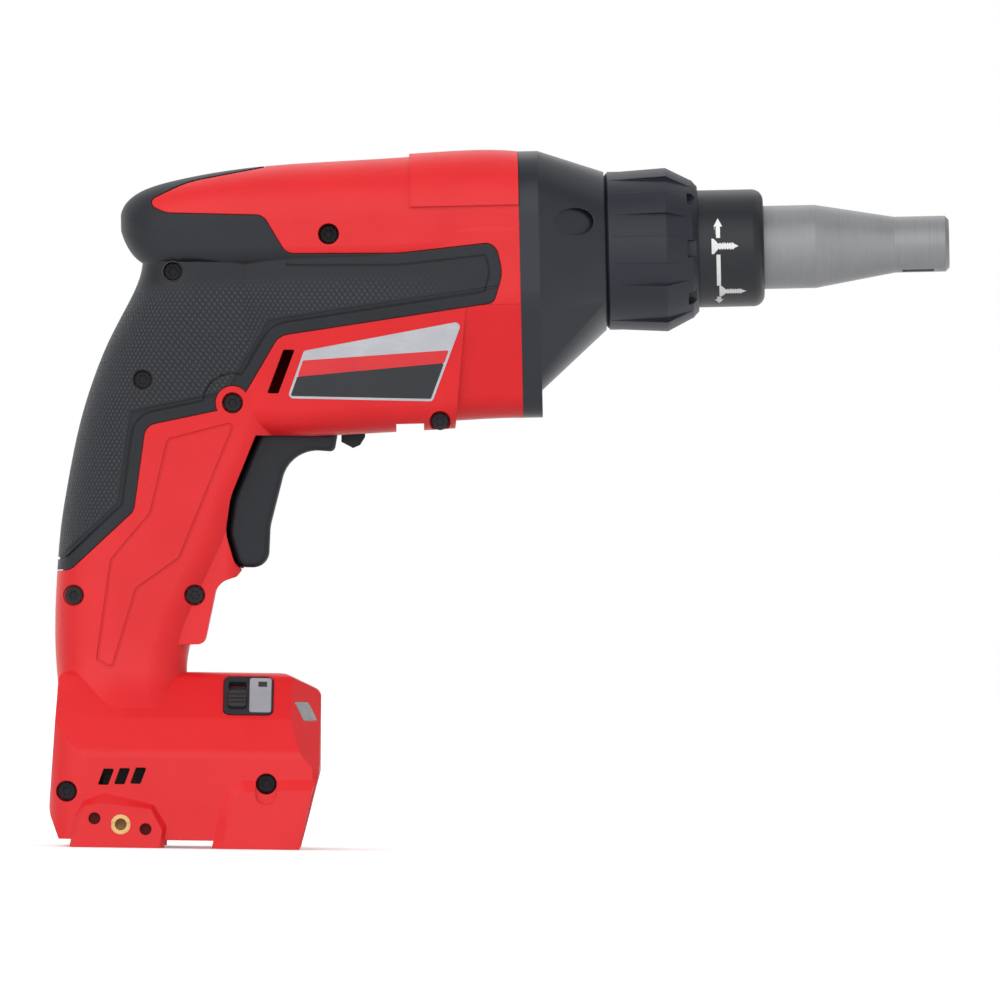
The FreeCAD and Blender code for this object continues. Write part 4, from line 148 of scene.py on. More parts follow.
class Signal:
    """Output of a shader node that can be written in sums."""

    def __init__(self, sheet: Sheet, socket: bpy.types.NodeSocket) -> None:
        """Keep the sheet and the socket that the value comes from."""
        self.sheet = sheet
        self.socket = socket

    def maths(self, operation: str, *operands: Value) -> Signal:
        """Add one Math node.

        Args:
            operation: name of the Math node's operation.
            operands: its inputs in order.

        Returns:
            The node's value.
        """
        return self.sheet.node("ShaderNodeMath", {"operation": operation}, dict(enumerate(operands)))

    def __add__(self, other: Value) -> Signal:
        """Sum of two values."""
        return self.maths("ADD", self, other)

    def __radd__(self, other: Value) -> Signal:
        """Sum with a number on the left."""
        return self.maths("ADD", other, self)

    def __sub__(self, other: Value) -> Signal:
        """Difference of two values."""
        return self.maths("SUBTRACT", self, other)

    def __rsub__(self, other: Value) -> Signal:
        """Difference with a number on the left."""
        return self.maths("SUBTRACT", other, self)

    def __mul__(self, other: Value) -> Signal:
        """Product of two values."""
        return self.maths("MULTIPLY", self, other)

    def __rmul__(self, other: Value) -> Signal:
        """Product with a number on the left."""
        return self.maths("MULTIPLY", other, self)

    def __truediv__(self, other: Value) -> Signal:
        """Quotient of two values."""
        return self.maths("DIVIDE", self, other)

    def __rtruediv__(self, other: Value) -> Signal:
        """Quotient with a number on the left."""
        return self.maths("DIVIDE", other, self)

    def __abs__(self) -> Signal:
        """Value without its sign."""
        return self.maths("ABSOLUTE", self)

    def joined(self, other: Value, how: Join) -> Signal:
        """Smaller or larger of two values."""
        return self.maths(how.value, self, other)

    def fraction(self) -> Signal:
        """Part after the decimal point."""
        return self.maths("FRACT", self)

    def ramp(self, low: float, high: float) -> Signal:
        """Smooth step between two values.

        Args:
            low: value that gives 0.
            high: value that gives 1.

        Returns:
            The step, from 0 to 1.
        """
        values = {"Value": self, "From Min": low, "From Max": high}
        return self.sheet.node("ShaderNodeMapRange", {"interpolation_type": "SMOOTHSTEP"}, values)


class Sheet:
    """Node sheet of one material or of the surroundings."""

    def __init__(self, owner: bpy.types.Material | bpy.types.World) -> None:
        """Clear the owner's nodes down to its output.

        Args:
            owner: material or world that the nodes belong to.
        """
        owner.use_nodes = True
        self.tree = owner.node_tree
        for made in self.tree.nodes[:]:
            if "Surface" in made.inputs:
                self.surface = made.inputs["Surface"]
            else:
                self.tree.nodes.remove(made)

    def node(
        self,
        kind: str,
        settings: dict[str, object] | None = None,
        values: dict[str | int, Value] | None = None,
        output: str | int = 0,
    ) -> Signal:
        """Add one node.

        Args:
            kind: type of the node.
            settings: its own settings, set first.
            values: numbers or links of its sockets.
            output: which of its outputs is wanted.

        Returns:
            That output.
        """
        made = self.tree.nodes.new(kind)
        for name, value in (settings or {}).items():
            setattr(made, name, value)
        for name, value in (values or {}).items():
            if isinstance(value, Signal):
                self.tree.links.new(value.socket, made.inputs[name])
            else:
                made.inputs[name].default_value = value
        return Signal(self, made.outputs[output])

    def place(self) -> Signal:
        """Position on the piece at rest."""
        return self.node("ShaderNodeTexCoord", output="Object")

    def part(self, vector: Signal, axis: str) -> Signal:
        """One coordinate of a vector."""
        return self.node("ShaderNodeSeparateXYZ", values={"Vector": vector}, output=axis)

    def stretched(self, vector: Signal, scale: Sequence[float]) -> Signal:
        """Vector scaled along each axis."""
        return self.node("ShaderNodeVectorMath", {"operation": "MULTIPLY"}, {0: vector, 1: tuple(scale)})

    def along(self, vector: Signal, direction: Value) -> Signal:
        """Length of a vector along a direction."""
        values = {0: vector, 1: direction}
        return self.node("ShaderNodeVectorMath", {"operation": "DOT_PRODUCT"}, values, "Value")

    def noise(self, vector: Signal, size: float, detail: float = 2.0) -> Signal:
        """Cloudy noise.

        Args:
            vector: place where it is read.
            size: size of its largest clouds.
            detail: how many finer layers it has.

        Returns:
            The noise, around one half.
        """
        values = {"Vector": vector, "Scale": 1.0 / size, "Detail": detail}
        return self.node("ShaderNodeTexNoise", values=values)

    def cells(self, vector: Signal, size: float, output: str = "Distance") -> Signal:
        """Random cells of a size: the distance from their middles, or another output."""
        values = {"Vector": vector, "Scale": 1.0 / size}
        return self.node("ShaderNodeTexVoronoi", values=values, output=output)

    @staticmethod
    def opaque(value: Value) -> Value:
        """Colour with full alpha; any other value as it is."""
        return (*value, 1.0) if isinstance(value, tuple) else value

    def mix(self, factor: Value, first: Value, second: Value) -> Signal:
        """Colour between two.

        Args:
            factor: share of the second colour.
            first: colour at 0.
            second: colour at 1.

        Returns:
            The mixed colour.
        """
        values = {0: factor, 6: self.opaque(first), 7: self.opaque(second)}
        return self.node("ShaderNodeMix", {"data_type": "RGBA"}, values, 2)

    def rounded(self, radius: float) -> Signal:
        """Normal with sharp edges rounded off by a radius."""
        return self.node("ShaderNodeBevel", {"samples": EDGE_RAYS}, {"Radius": radius})

    def edges(self, rounded: Signal) -> Signal:
        """Mask of the edges that a rounded normal has smoothed.

        Args:
            rounded: the rounded normal.

        Returns:
            1 on the edges, 0 on flat faces.
        """
        plain = self.node("ShaderNodeNewGeometry", output="Normal")
        return (1.0 - self.along(rounded, plain)).ramp(*EDGE_STEP)

    def bump(self, height: Signal, depth: float, normal: Signal) -> Signal:
        """Normal with relief on top of another normal.

        Args:
            height: relief from 0 to 1.
            depth: height of the relief.
            normal: normal under it.

        Returns:
            The new normal.
        """
        return self.node("ShaderNodeBump", values={"Height": height, "Distance": depth, "Normal": normal})

    def close(self, kind: str, values: dict[str | int, Value]) -> None:
        """Join everything into the surface.

        Args:
            kind: type of the surface shader.
            values: its sockets.
        """
        filled = {name: self.opaque(value) for name, value in values.items()}
        self.tree.links.new(self.node(kind, values=filled).socket, self.surface)


@dataclass(frozen=True)
class Finish(ABC):
    """A surface finish of two close colours that lays out its own nodes."""

    name: str
    colour: Colour
    shade: Colour

    @abstractmethod
    def paint(self, sheet: Sheet) -> dict[str | int, Value]:
        """Lay out the nodes and give the surface shader's sockets."""

    def material(self) -> bpy.types.Material:
        """Material of this finish, made once.

        Returns:
            The material.
        """
        found = bpy.data.materials.get(self.name)
        if found is None:
            found = bpy.data.materials.new(self.name)
            sheet = Sheet(found)
            sheet.close("ShaderNodeBsdfPrincipled", self.paint(sheet))
        return found

    def put_on(self, piece: bpy.types.Object) -> None:
        """Make this the only material of a piece."""
        piece.data.materials.clear()
        piece.data.materials.append(self.material())


@dataclass(frozen=True)
class Moulding(Finish):
    """Moulded or coated surface with a fine spark-eroded grain."""

    edge: Colour
    roughness: float = 0.45
    spread: float = 0.12
    grain: float = 0.5 * MM
    depth: float = 0.03 * MM
    corner: float = 0.35 * MM
    wear: float = 0.35
    cloud: float = 22 * MM
    patches: float = 6.0
    specular: float = 0.5

    def paint(self, sheet: Sheet) -> dict[str | int, Value]:
        """Grain as relief, clouds in colour and gloss, lighter edges.

        Args:
            sheet: sheet to add to.

        Returns:
            Sockets of the surface shader.
        """
        place = sheet.place()
        rounded = sheet.rounded(self.corner)
        cloud = sheet.noise(place, self.cloud, FINE_LAYERS)
        grain = sheet.noise(place, self.grain)
        patchy = sheet.noise(place, self.cloud / self.patches, SOME_LAYERS).ramp(*EVEN_STEP)
        colour = sheet.mix(cloud.ramp(*SOFT_STEP), self.colour, self.shade)
        return {
            "Base Color": sheet.mix(sheet.edges(rounded) * patchy * self.wear, colour, self.edge),
            "Roughness": (cloud + grain - 1.0) * self.spread + self.roughness,
            "Specular IOR Level": self.specular,
            "Normal": sheet.bump(grain, self.depth, rounded),
        }


@dataclass(frozen=True)
class ShellMoulding(Moulding):
    """Moulded half with the fine line where it meets the other half."""

    seam_half: float = 0.09 * MM
    seam_depth: float = 0.2 * MM
    seam_colour: Colour = (0.10, 0.004, 0.005)
    seam_share: float = 0.7

    def paint(self, sheet: Sheet) -> dict[str | int, Value]:
        """Moulding with a sunk, darker parting line.

        Args:
            sheet: sheet to add to.

        Returns:
            Sockets of the surface shader.
        """
        sockets = super().paint(sheet)
        line = 1.0 - abs(sheet.part(sheet.place(), "Y")).ramp(self.seam_half, self.seam_half * 2)
        sockets["Base Color"] = sheet.mix(line * self.seam_share, sockets["Base Color"], self.seam_colour)
        sockets["Normal"] = sheet.bump(1.0 - line, self.seam_depth, sockets["Normal"])
        return sockets


@dataclass(frozen=True)
class SoftGrip(Finish):
    """Soft rubber with a field of small scales whose tips carry a painted highlight, a smooth border and
    dust.
    """

    dust: Colour
    # colour of the painted highlight on the scales' tips
    tip: Colour
    scale_width: float = 1.7 * MM
    scale_height: float = 2.2 * MM
    scale_depth: float = 0.3 * MM
    grain: float = 0.35 * MM
    grain_depth: float = 0.02 * MM
    corner: float = 0.45 * MM
    cloud: float = 14 * MM
    border: float = 4.9 * MM
    border_fade: float = 1.2
    line: float = 4.5 * MM
    line_half: float = 0.22 * MM
    line_depth: float = 0.25 * MM
    speck: float = 2.6 * MM
    speck_step: Point = (0.03, 0.07)
    speck_rarity: Point = (0.80, 0.84)
    dome_step: Point = (0.0, 0.34)
    roughness: float = 0.5
    spread: float = 0.15
    specular: float = 0.33
    # shares of the scales' lean, of the painted highlight on their tips, of gloss on the scales and of dust
    # on edges and in specks
    lean: float = 0.35
    tip_highlight_share: float = 0.8
    scale_gloss: float = 0.06
    edge_dust: float = 0.15
    speck_dust: float = 0.5
    # lower border of the field in the side view, from the rear up to the front
    border_line: tuple[Point, ...] = (
        (-0.1223, 0.0788), (-0.1044, 0.0958), (-0.1014, 0.1202), (-0.0752, 0.1260),
        (-0.0636, 0.1463), (-0.0024, 0.1565),
    )
    # the scales fade out above this line and ahead of this place
    crease: tuple[Point, Point] = ((-0.125, 0.1615), (0.0, 0.1675))
    crease_fade: float = 7 * MM
    front_fade: Point = (-0.006, -0.045)

    @staticmethod
    def left_of(sheet: Sheet, place: Signal, start: Point, end: Point) -> Signal:
        """Distance to the left of a line in the side view.

        Args:
            sheet: sheet to add to.
            place: position on the piece.
            start: first point of the line.
            end: last point of the line.

        Returns:
            The distance, negative on the right.
        """
        run = Vector(end) - Vector(start)
        normal = Vector((-run.y, run.x)).normalized()
        return sheet.along(place, (normal.x, 0.0, normal.y)) - normal.dot(Vector(start))

    def inside(self, sheet: Sheet, place: Signal) -> Signal:
        """Distance into the grip from its lower border.

        Args:
            sheet: sheet to add to.
            place: position on the piece.

        Returns:
            The distance.
        """
        pairs = zip(self.border_line, self.border_line[1:])
        sides = [self.left_of(sheet, place, *pair) for pair in pairs]
        grip = sides[0].joined(sides[1], Join.BOTH)
        neck = sides[2].joined(sides[3], Join.BOTH)
        return grip.joined(neck, Join.EITHER).joined(sides[4], Join.EITHER)

    def field(self, sheet: Sheet, place: Signal, inside: Signal) -> Signal:
        """Mask of the scaled field.

        Args:
            sheet: sheet to add to.
            place: position on the piece.
            inside: distance from the border.

        Returns:
            1 in the field, 0 on the border and on the smooth tail.
        """
        below = self.left_of(sheet, place, self.crease[1], self.crease[0])
        behind = sheet.part(place, "X").ramp(*self.front_fade)
        within = inside.ramp(self.border, self.border * self.border_fade)
        return within * below.ramp(0.0, self.crease_fade) * behind

    def scales(self, sheet: Sheet, place: Signal) -> Signal:
        """Height of the scales, on a lattice that runs around the handle.

        Args:
            sheet: sheet to add to.
            place: position on the piece.

        Returns:
            The height, from 0 to 1.
        """
        around = (sheet.part(place, "X") + abs(sheet.part(place, "Y"))) / self.scale_width
        height = sheet.part(place, "Z") / self.scale_height
        rising = (around + height).fraction() - 0.5
        falling = (around - height).fraction() - 0.5
        dome = (0.5 - abs(rising).joined(abs(falling), Join.EITHER)).ramp(*self.dome_step)
        return dome * ((rising - falling) * self.lean + (1.0 - self.lean))

    def paint(self, sheet: Sheet) -> dict[str | int, Value]:
        """Scales and grain as relief, clouds in colour, a painted highlight on the scales' tips, specks of
        dust.

        Args:
            sheet: sheet to add to.

        Returns:
            Sockets of the surface shader.
        """
        place = sheet.place()
        rounded = sheet.rounded(self.corner)
        inside = self.inside(sheet, place)
        scales = self.scales(sheet, place) * self.field(sheet, place, inside)
        line = 1.0 - abs(inside - self.line).ramp(self.line_half, self.line_half * 2)
        grain = sheet.noise(place, self.grain)
        cloud = sheet.noise(place, self.cloud, FINE_LAYERS)
        lone = sheet.part(sheet.cells(place, self.speck, "Color"), "X").ramp(*self.speck_rarity)
        specks = (1.0 - sheet.cells(place, self.speck).ramp(*self.speck_step)) * lone
        colour = sheet.mix(cloud.ramp(*SOFT_STEP), self.colour, self.shade)
        dusty = sheet.edges(rounded) * self.edge_dust
        # painted highlight: the scales' tips, lighter on their leaning side, are mixed toward the tip colour
        colour = sheet.mix(dusty, sheet.mix(scales * self.tip_highlight_share, colour, self.tip), self.dust)
        relief = sheet.bump(1.0 - line, self.line_depth, sheet.bump(grain, self.grain_depth, rounded))
        return {
            "Base Color": sheet.mix(specks * self.speck_dust, colour, self.dust),
            "Roughness": (cloud - 0.5) * self.spread + self.roughness - scales * self.scale_gloss,
            "Specular IOR Level": self.specular,
            "Normal": sheet.bump(scales, self.scale_depth, relief),
        }


@dataclass(frozen=True)
class TurnedMetal(Finish):
    """Metal with fine marks around the spindle direction."""

    metallic: float = 1.0
    roughness: float = 0.3
    spread: float = 0.18
    mark: float = 0.25 * MM
    mark_scale: Triple = (1.0, 0.03, 0.03)
    depth: float = 0.006 * MM
    corner: float = 0.2 * MM
    cloud: float = 9 * MM

    def paint(self, sheet: Sheet) -> dict[str | int, Value]:
        """Rings as relief and gloss, clouds in colour.

        Args:
            sheet: sheet to add to.

        Returns:
            Sockets of the surface shader.
        """
        place = sheet.place()
        rounded = sheet.rounded(self.corner)
        rings = sheet.noise(sheet.stretched(place, self.mark_scale), self.mark)
        cloud = sheet.noise(place, self.cloud, FINE_LAYERS)
        worn = (rings * 0.5 + cloud * 0.5).ramp(*EVEN_STEP)
        return {
            "Base Color": sheet.mix(worn, self.colour, self.shade),
            "Metallic": self.metallic,
            "Roughness": (rings + cloud - 1.0) * self.spread + self.roughness,
            "Normal": sheet.bump(rings, self.depth, rounded),
        }


@dataclass(frozen=True)
class Layered(Finish):
    """Stacked sheets or wound wires, seen as fine even bands."""

    band: float
    direction: Triple = (1.0, 0.0, 0.0)
    band_share: float = 0.6
    metallic: float = 1.0
    roughness: float = 0.4
    spread: float = 0.2
    depth: float = 0.05 * MM
    corner: float = 0.15 * MM
    cloud: float = 4 * MM

    def paint(self, sheet: Sheet) -> dict[str | int, Value]:
        """Bands as relief and colour.

        Args:
            sheet: sheet to add to.

        Returns:
            Sockets of the surface shader.
        """
        place = sheet.place()
        bands = abs((sheet.along(place, self.direction) / self.band).fraction() - 0.5) * 2.0
        cloud = sheet.noise(place, self.cloud, FINE_LAYERS)
        banded = bands * self.band_share + cloud * (1.0 - self.band_share)
        return {
            "Base Color": sheet.mix(banded, self.colour, self.shade),
            "Metallic": self.metallic,
            "Roughness": (cloud - 0.5) * self.spread + self.roughness,
            "Normal": sheet.bump(bands, self.depth, sheet.rounded(self.corner)),
        }


@dataclass(frozen=True)
class ClearLens(Finish):
    """Clear moulded lens with a faint haze."""

    haze: float = 1.2 * MM
    haze_share: float = 0.3
    roughness: float = 0.08
    spread: float = 0.25
    clearness: float = 0.75
    bending: float = 1.5
    corner: float = 0.3 * MM

    def paint(self, sheet: Sheet) -> dict[str | int, Value]:
        """Haze in colour and gloss.

        Args:
            sheet: sheet to add to.

        Returns:
            Sockets of the surface shader.
        """
        haze = sheet.noise(sheet.place(), self.haze, SOME_LAYERS)
        return {
            "Base Color": sheet.mix(haze.ramp(*HIGH_STEP) * self.haze_share, self.colour, self.shade),
            "Roughness": haze * self.spread + self.roughness,
            "Transmission Weight": self.clearness,
            "IOR": self.bending,
            "Normal": sheet.rounded(self.corner),
        }


@dataclass(frozen=True)
class Foil(Finish):
    """Printed foil or ink with slight wear."""

    metallic: float = 0.0
    roughness: float = 0.4
    spread: float = 0.2
    glow: float = 0.0
    cloud: float = 12 * MM
    cloud_share: float = 0.7
    scuff: float = 0.6 * MM
    scuff_scale: Triple = (0.2, 1.0, 1.0)
    depth: float = 0.004 * MM
    corner: float = 0.05 * MM

    def paint(self, sheet: Sheet) -> dict[str | int, Value]:
        """Clouds and fine scuffs.

        Args:
            sheet: sheet to add to.

        Returns:
            Sockets of the surface shader.
        """
        place = sheet.place()
        cloud = sheet.noise(place, self.cloud, SOME_LAYERS)
        scuff = sheet.noise(sheet.stretched(place, self.scuff_scale), self.scuff, SOME_LAYERS)
        worn = cloud * self.cloud_share + scuff * (1.0 - self.cloud_share)
        return {
            "Base Color": sheet.mix(worn.ramp(*HIGH_STEP), self.colour, self.shade),
            "Metallic": self.metallic,
            "Roughness": (scuff - 0.5) * self.spread + self.roughness,
            "Emission Strength": self.glow,
            "Normal": sheet.bump(scuff, self.depth, sheet.rounded(self.corner)),
        }


RED_NYLON = ShellMoulding("red_nylon", (0.72, 0.013, 0.017), (0.67, 0.011, 0.015), (0.80, 0.07, 0.07),
                          roughness=0.42, specular=0.33)
# dark red of the discs of painted shade at the bottoms of the dimples in the hook pads
PAINTED_SHADE_RED = Moulding("painted_shade_red", (0.10, 0.005, 0.006), (0.08, 0.004, 0.005), (0.13, 0.010, 0.011),
                      roughness=0.6, specular=0.2)
# tip is the colour of the painted highlight on the grip's scales
GRIP_RUBBER = SoftGrip("grip_rubber", (0.007, 0.009, 0.013), (0.010, 0.012, 0.017), (0.22, 0.22, 0.22),
                       tip=(0.062, 0.065, 0.074))
BLACK_COAT = Moulding("black_coat", (0.006, 0.009, 0.016), (0.009, 0.012, 0.020), (0.10, 0.10, 0.11),
                      roughness=0.36, grain=0.3 * MM, depth=0.012 * MM, wear=0.5, specular=0.42)
COLLAR_BLACK = Moulding("collar_black", (0.006, 0.009, 0.017), (0.009, 0.012, 0.021), (0.05, 0.055, 0.06),
                        roughness=0.45, wear=0.4, specular=0.4)
SLEEVE_BLACK = Moulding("sleeve_black", (0.007, 0.008, 0.012), (0.009, 0.011, 0.016), (0.06, 0.06, 0.065),
                        roughness=0.40, grain=0.25 * MM, depth=0.01 * MM, specular=0.38)
TRIGGER_BLACK = Moulding("trigger_black", (0.008, 0.010, 0.014), (0.011, 0.013, 0.018), (0.04, 0.045, 0.05),
                         roughness=0.5, specular=0.3)
SWITCH_PLASTIC = Moulding("switch_plastic", (0.016, 0.018, 0.023), (0.021, 0.023, 0.029),
                          (0.05, 0.05, 0.055), roughness=0.45, grain=0.3 * MM, corner=0.2 * MM,
                          specular=0.4)
DARK_PLASTIC = Moulding("dark_plastic", (0.020, 0.020, 0.022), (0.028, 0.028, 0.030), (0.06, 0.06, 0.06),
                        roughness=0.5)
BOARD_GREEN = Moulding("board_green", (0.012, 0.10, 0.035), (0.02, 0.14, 0.05), (0.30, 0.27, 0.12),
                       roughness=0.35, cloud=3 * MM)
SEAL_RUBBER = Moulding("seal_rubber", (0.012, 0.012, 0.012), (0.018, 0.018, 0.018), (0.05, 0.05, 0.05),
                       roughness=0.55)
NOSE_GREY = TurnedMetal("nose_grey", (0.22, 0.225, 0.235), (0.26, 0.265, 0.275), metallic=0.4,
                        roughness=0.42, spread=0.10, mark=0.35 * MM)
GROUND_STEEL = TurnedMetal("ground_steel", (0.52, 0.52, 0.54), (0.42, 0.42, 0.44))
DARK_STEEL = TurnedMetal("dark_steel", (0.016, 0.016, 0.018), (0.027, 0.027, 0.030), metallic=0.9,
                         roughness=0.32)
TURNED_BRASS = TurnedMetal("turned_brass", (0.54, 0.35, 0.15), (0.46, 0.29, 0.12), roughness=0.3)
SINTERED_BRONZE = TurnedMetal("sintered_bronze", (0.42, 0.26, 0.12), (0.36, 0.21, 0.10), roughness=0.5)
CAST_ALLOY = TurnedMetal("cast_alloy", (0.55, 0.56, 0.57), (0.46, 0.47, 0.48), roughness=0.45,
                         mark=1.2 * MM)
CORE_SHEETS = Layered("core_sheets", (0.20, 0.20, 0.21), (0.32, 0.32, 0.33), band=0.5 * MM)
WOUND_COPPER = Layered("wound_copper", (0.55, 0.20, 0.07), (0.70, 0.30, 0.12), band=0.8 * MM,
                       direction=(0.0, 0.6, 0.8))
LENS_CLEAR = ClearLens("lens_clear", (0.80, 0.82, 0.85), (0.95, 0.95, 0.95))
PLATE_SILVER = Foil("plate_silver", (0.42, 0.43, 0.46), (0.50, 0.51, 0.54), metallic=0.35, roughness=0.35)
PLATE_RED = Foil("plate_red", (0.68, 0.020, 0.026), (0.62, 0.016, 0.022))
PLATE_DARK = Foil("plate_dark", (0.006, 0.008, 0.012), (0.009, 0.011, 0.016), roughness=0.3)
PRINT_WHITE = Foil("print_white", (0.80, 0.80, 0.80), (0.70, 0.70, 0.70), roughness=0.5)
PRINT_DARK = Foil("print_dark", (0.025, 0.026, 0.030), (0.035, 0.036, 0.040), roughness=0.5)
MARK_GREY = Foil("mark_grey", (0.30, 0.31, 0.34), (0.35, 0.36, 0.39), roughness=0.45)
FLOOR_PAPER = Foil("floor_paper", (0.95, 0.95, 0.95), (0.97, 0.97, 0.97), roughness=0.9, glow=0.25)


def round_corners(corners: Sequence[Point], radius: float, steps: int = 6) -> list[Point]:
    """Outline with each corner replaced by an arc.

    Args:
        corners: corners in order.
        radius: radius of the arcs.
        steps: pieces in one arc.

    Returns:
        Points of the rounded outline.
    """
    points: list[Point] = []
    for number, corner in enumerate(corners):
        here = Vector(corner)
        back = (Vector(corners[number - 1]) - here).normalized()
        ahead = (Vector(corners[(number + 1) % len(corners)]) - here).normalized()
        half = back.angle(ahead) / 2
        centre = here + (back + ahead).normalized() * (radius / math.sin(half))
        start = (here + back * (radius / math.tan(half)) - centre).normalized()
        end = (here + ahead * (radius / math.tan(half)) - centre).normalized()
        for step in range(steps + 1):
            points.append(tuple(centre + start.slerp(end, step / steps) * radius))
    return points


def inset(corners: Sequence[Point], width: float) -> list[Point]:
    """Outline drawn in by a width.

    Args:
        corners: corners of a convex outline, counterclockwise.
        width: how far each side moves inward.

    Returns:
        The new corners.
    """
    moved: list[Point] = []
    for number, corner in enumerate(corners):
        here = Vector(corner)
        before = (here - Vector(corners[number - 1])).normalized()
        after = (Vector(corners[(number + 1) % len(corners)]) - here).normalized()
        inward = Vector((-before.y - after.y, before.x + after.x))
        moved.append(tuple(here + inward * (width / (1 + before.dot(after)))))
    return moved


def box_outline(centre: Point, width: float, height: float) -> list[Point]:
    """Corners of an upright rectangle, counterclockwise."""
    corners = ((-1, -1), (1, -1), (1, 1), (-1, 1))
    return [(centre[0] + width / 2 * x, centre[1] + height / 2 * y) for x, y in corners]


def disc_outline(radius: float) -> list[Point]:
    """Circle around the origin."""
    return round_corners(box_outline((0.0, 0.0), radius * 2, radius * 2), radius)


def new_object(name: str, shape: bmesh.types.BMesh, smooth: bool) -> bpy.types.Object:
    """Turn a built mesh into an object of the scene.

    Args:
        name: name of the piece.
        shape: its mesh, freed here.
        smooth: whether its faces are shaded smooth.

    Returns:
        The new object.
    """
    bmesh.ops.recalc_face_normals(shape, faces=shape.faces[:])
    mesh = bpy.data.meshes.new(name)
    shape.to_mesh(mesh)
    shape.free()
    mesh.polygons.foreach_set("use_smooth", [smooth] * len(mesh.polygons))
    piece = bpy.data.objects.new(name, mesh)
    bpy.context.scene.collection.objects.link(piece)
    return piece


def sweep(name: str, rings: Sequence[Sequence[Vector]], closed: bool, smooth: bool) -> bpy.types.Object:
    """Skin a row of rings with equal numbers of points.

    Args:
        name: name of the piece.
        rings: points of each ring, in order.
        closed: whether the last ring meets the first; both ends are capped if not.
        smooth: whether its faces are shaded smooth.

    Returns:
        The new piece.
    """
    shape = bmesh.new()
    made = [[shape.verts.new(point) for point in ring] for ring in rings]
    pairs = zip(made[-1:] + made[:-1], made) if closed else zip(made, made[1:])
    for before, after in pairs:
        for number in range(len(before)):
            shape.faces.new([before[number - 1], before[number], after[number], after[number - 1]])
    if not closed:
        shape.faces.new(made[0])
        shape.faces.new(made[-1])
    return new_object(name, shape, smooth)


@dataclass(frozen=True)
class Drop:
    """Lays points of one side's view onto a solid, from that side."""

    tree: BVHTree
    side: Side
    far: float = 0.3

    @classmethod
    def onto(cls, node: bpy.types.Object, side: Side) -> Drop:
        """Drop onto one solid of the frame."""
        return cls(BVHTree.FromObject(node, bpy.context.evaluated_depsgraph_get()), side)

    def hit(self, aside: float, z: float) -> tuple[Vector, Vector]:
        """Place and normal of the surface at a point of the view.

        Args:
            aside: place along the level direction of the view.
            z: height in the view.

        Returns:
            The place and the normal.
        """
        inward = Vector(self.side.value)
        level = Vector((abs(inward.y), abs(inward.x), 0.0))
        place, normal, _, _ = self.tree.ray_cast(level * aside + UP * z - inward * self.far, inward)
        return place, normal

    def __call__(self, aside: float, z: float, height: float) -> Vector:
        """Point at a height over the solid."""
        place, normal = self.hit(aside, z)
        return place + normal * height


@dataclass(frozen=True)
class RoundWrap:
    """Lays flat points around a cylinder, from the middle of its right side."""

    centre: Vector
    axis: Vector
    radius: float

    def __call__(self, along: float, arc: float, height: float) -> Vector:
        """Point at a height over the cylinder.

        Args:
            along: place along the middle line.
            arc: length around it, upward from the right side.
            height: height over the surface.

        Returns:
            The point.
        """
        right = Vector((0.0, -1.0, 0.0))
        up = right.cross(self.axis)
        angle = arc / self.radius
        outward = right * math.cos(angle) + up * math.sin(angle)
        return self.centre + self.axis * along + outward * (self.radius + height)


@dataclass(frozen=True)
class FlatFace:
    """Lays flat points on a plane face."""

    centre: Vector
    across: Vector
    up: Vector

    def __call__(self, x: float, y: float, height: float) -> Vector:
        """Point at a height over the face."""
        return self.centre + self.across * x + self.up * y + self.across.cross(self.up) * height


@dataclass(frozen=True)
class ThinSheet:
    """Thin piece cut from a flat outline and laid onto a surface."""

    name: str
    outline: Sequence[Point]
    lift: float
    thickness: float
    cell: float = 1.5 * MM

    def cuts(self) -> Iterator[tuple[int, float]]:
        """Lines that divide the outline into cells.

        Yields:
            Axis and place of each line.
        """
        for axis in (0, 1):
            low = min(point[axis] for point in self.outline)
            high = max(point[axis] for point in self.outline)
            for number in range(1, int((high - low) / self.cell) + 1):
                yield axis, low + number * self.cell

    def lay(self, layer: Layer) -> bpy.types.Object:
        """Build the piece.

        Args:
            layer: place in space of a flat point at a height.

        Returns:
            The closed thin piece.
        """
        flat = bmesh.new()
        flat.faces.new([flat.verts.new((*point, 0.0)) for point in self.outline])
        bmesh.ops.triangulate(flat, faces=flat.faces[:])
        for axis, place in self.cuts():
            normal = Vector((1.0, 0.0, 0.0) if axis == 0 else (0.0, 1.0, 0.0))
            everything = flat.verts[:] + flat.edges[:] + flat.faces[:]
            bmesh.ops.bisect_plane(flat, geom=everything, plane_co=normal * place, plane_no=normal)
        flat.verts.index_update()
        solid = bmesh.new()
        floors = [[solid.verts.new(layer(spot.co.x, spot.co.y, height)) for spot in flat.verts]
                  for height in (self.lift, self.lift + self.thickness)]
        for face in flat.faces:
            for floor in floors:
                solid.faces.new([floor[spot.index] for spot in face.verts])
        for edge in flat.edges:
            if edge.is_boundary:
                first, second = (spot.index for spot in edge.verts)
                solid.faces.new([floors[0][first], floors[0][second], floors[1][second], floors[1][first]])
        flat.free()
        return new_object(self.name, solid, False)


@dataclass(frozen=True)
class Tube:
    """Round tube, or a flat ring if it is short."""

    name: str
    start: Vector
    run: Vector
    inner: float
    outer: float
    sides: int = 72

    def turn(self) -> bpy.types.Object:
        """Turn the tube's section around its middle line.

        Returns:
            The new piece.
        """
        aside = self.run.orthogonal().normalized()
        upright = self.run.normalized().cross(aside)
        section = [(self.inner, 0.0), (self.outer, 0.0), (self.outer, 1.0), (self.inner, 1.0)]
        rings = []
        for number in range(self.sides):
            angle = math.tau * number / self.sides
            outward = aside * math.cos(angle) + upright * math.sin(angle)
            rings.append([self.start + outward * radius + self.run * share for radius, share in section])
        return sweep(self.name, rings, closed=True, smooth=False)


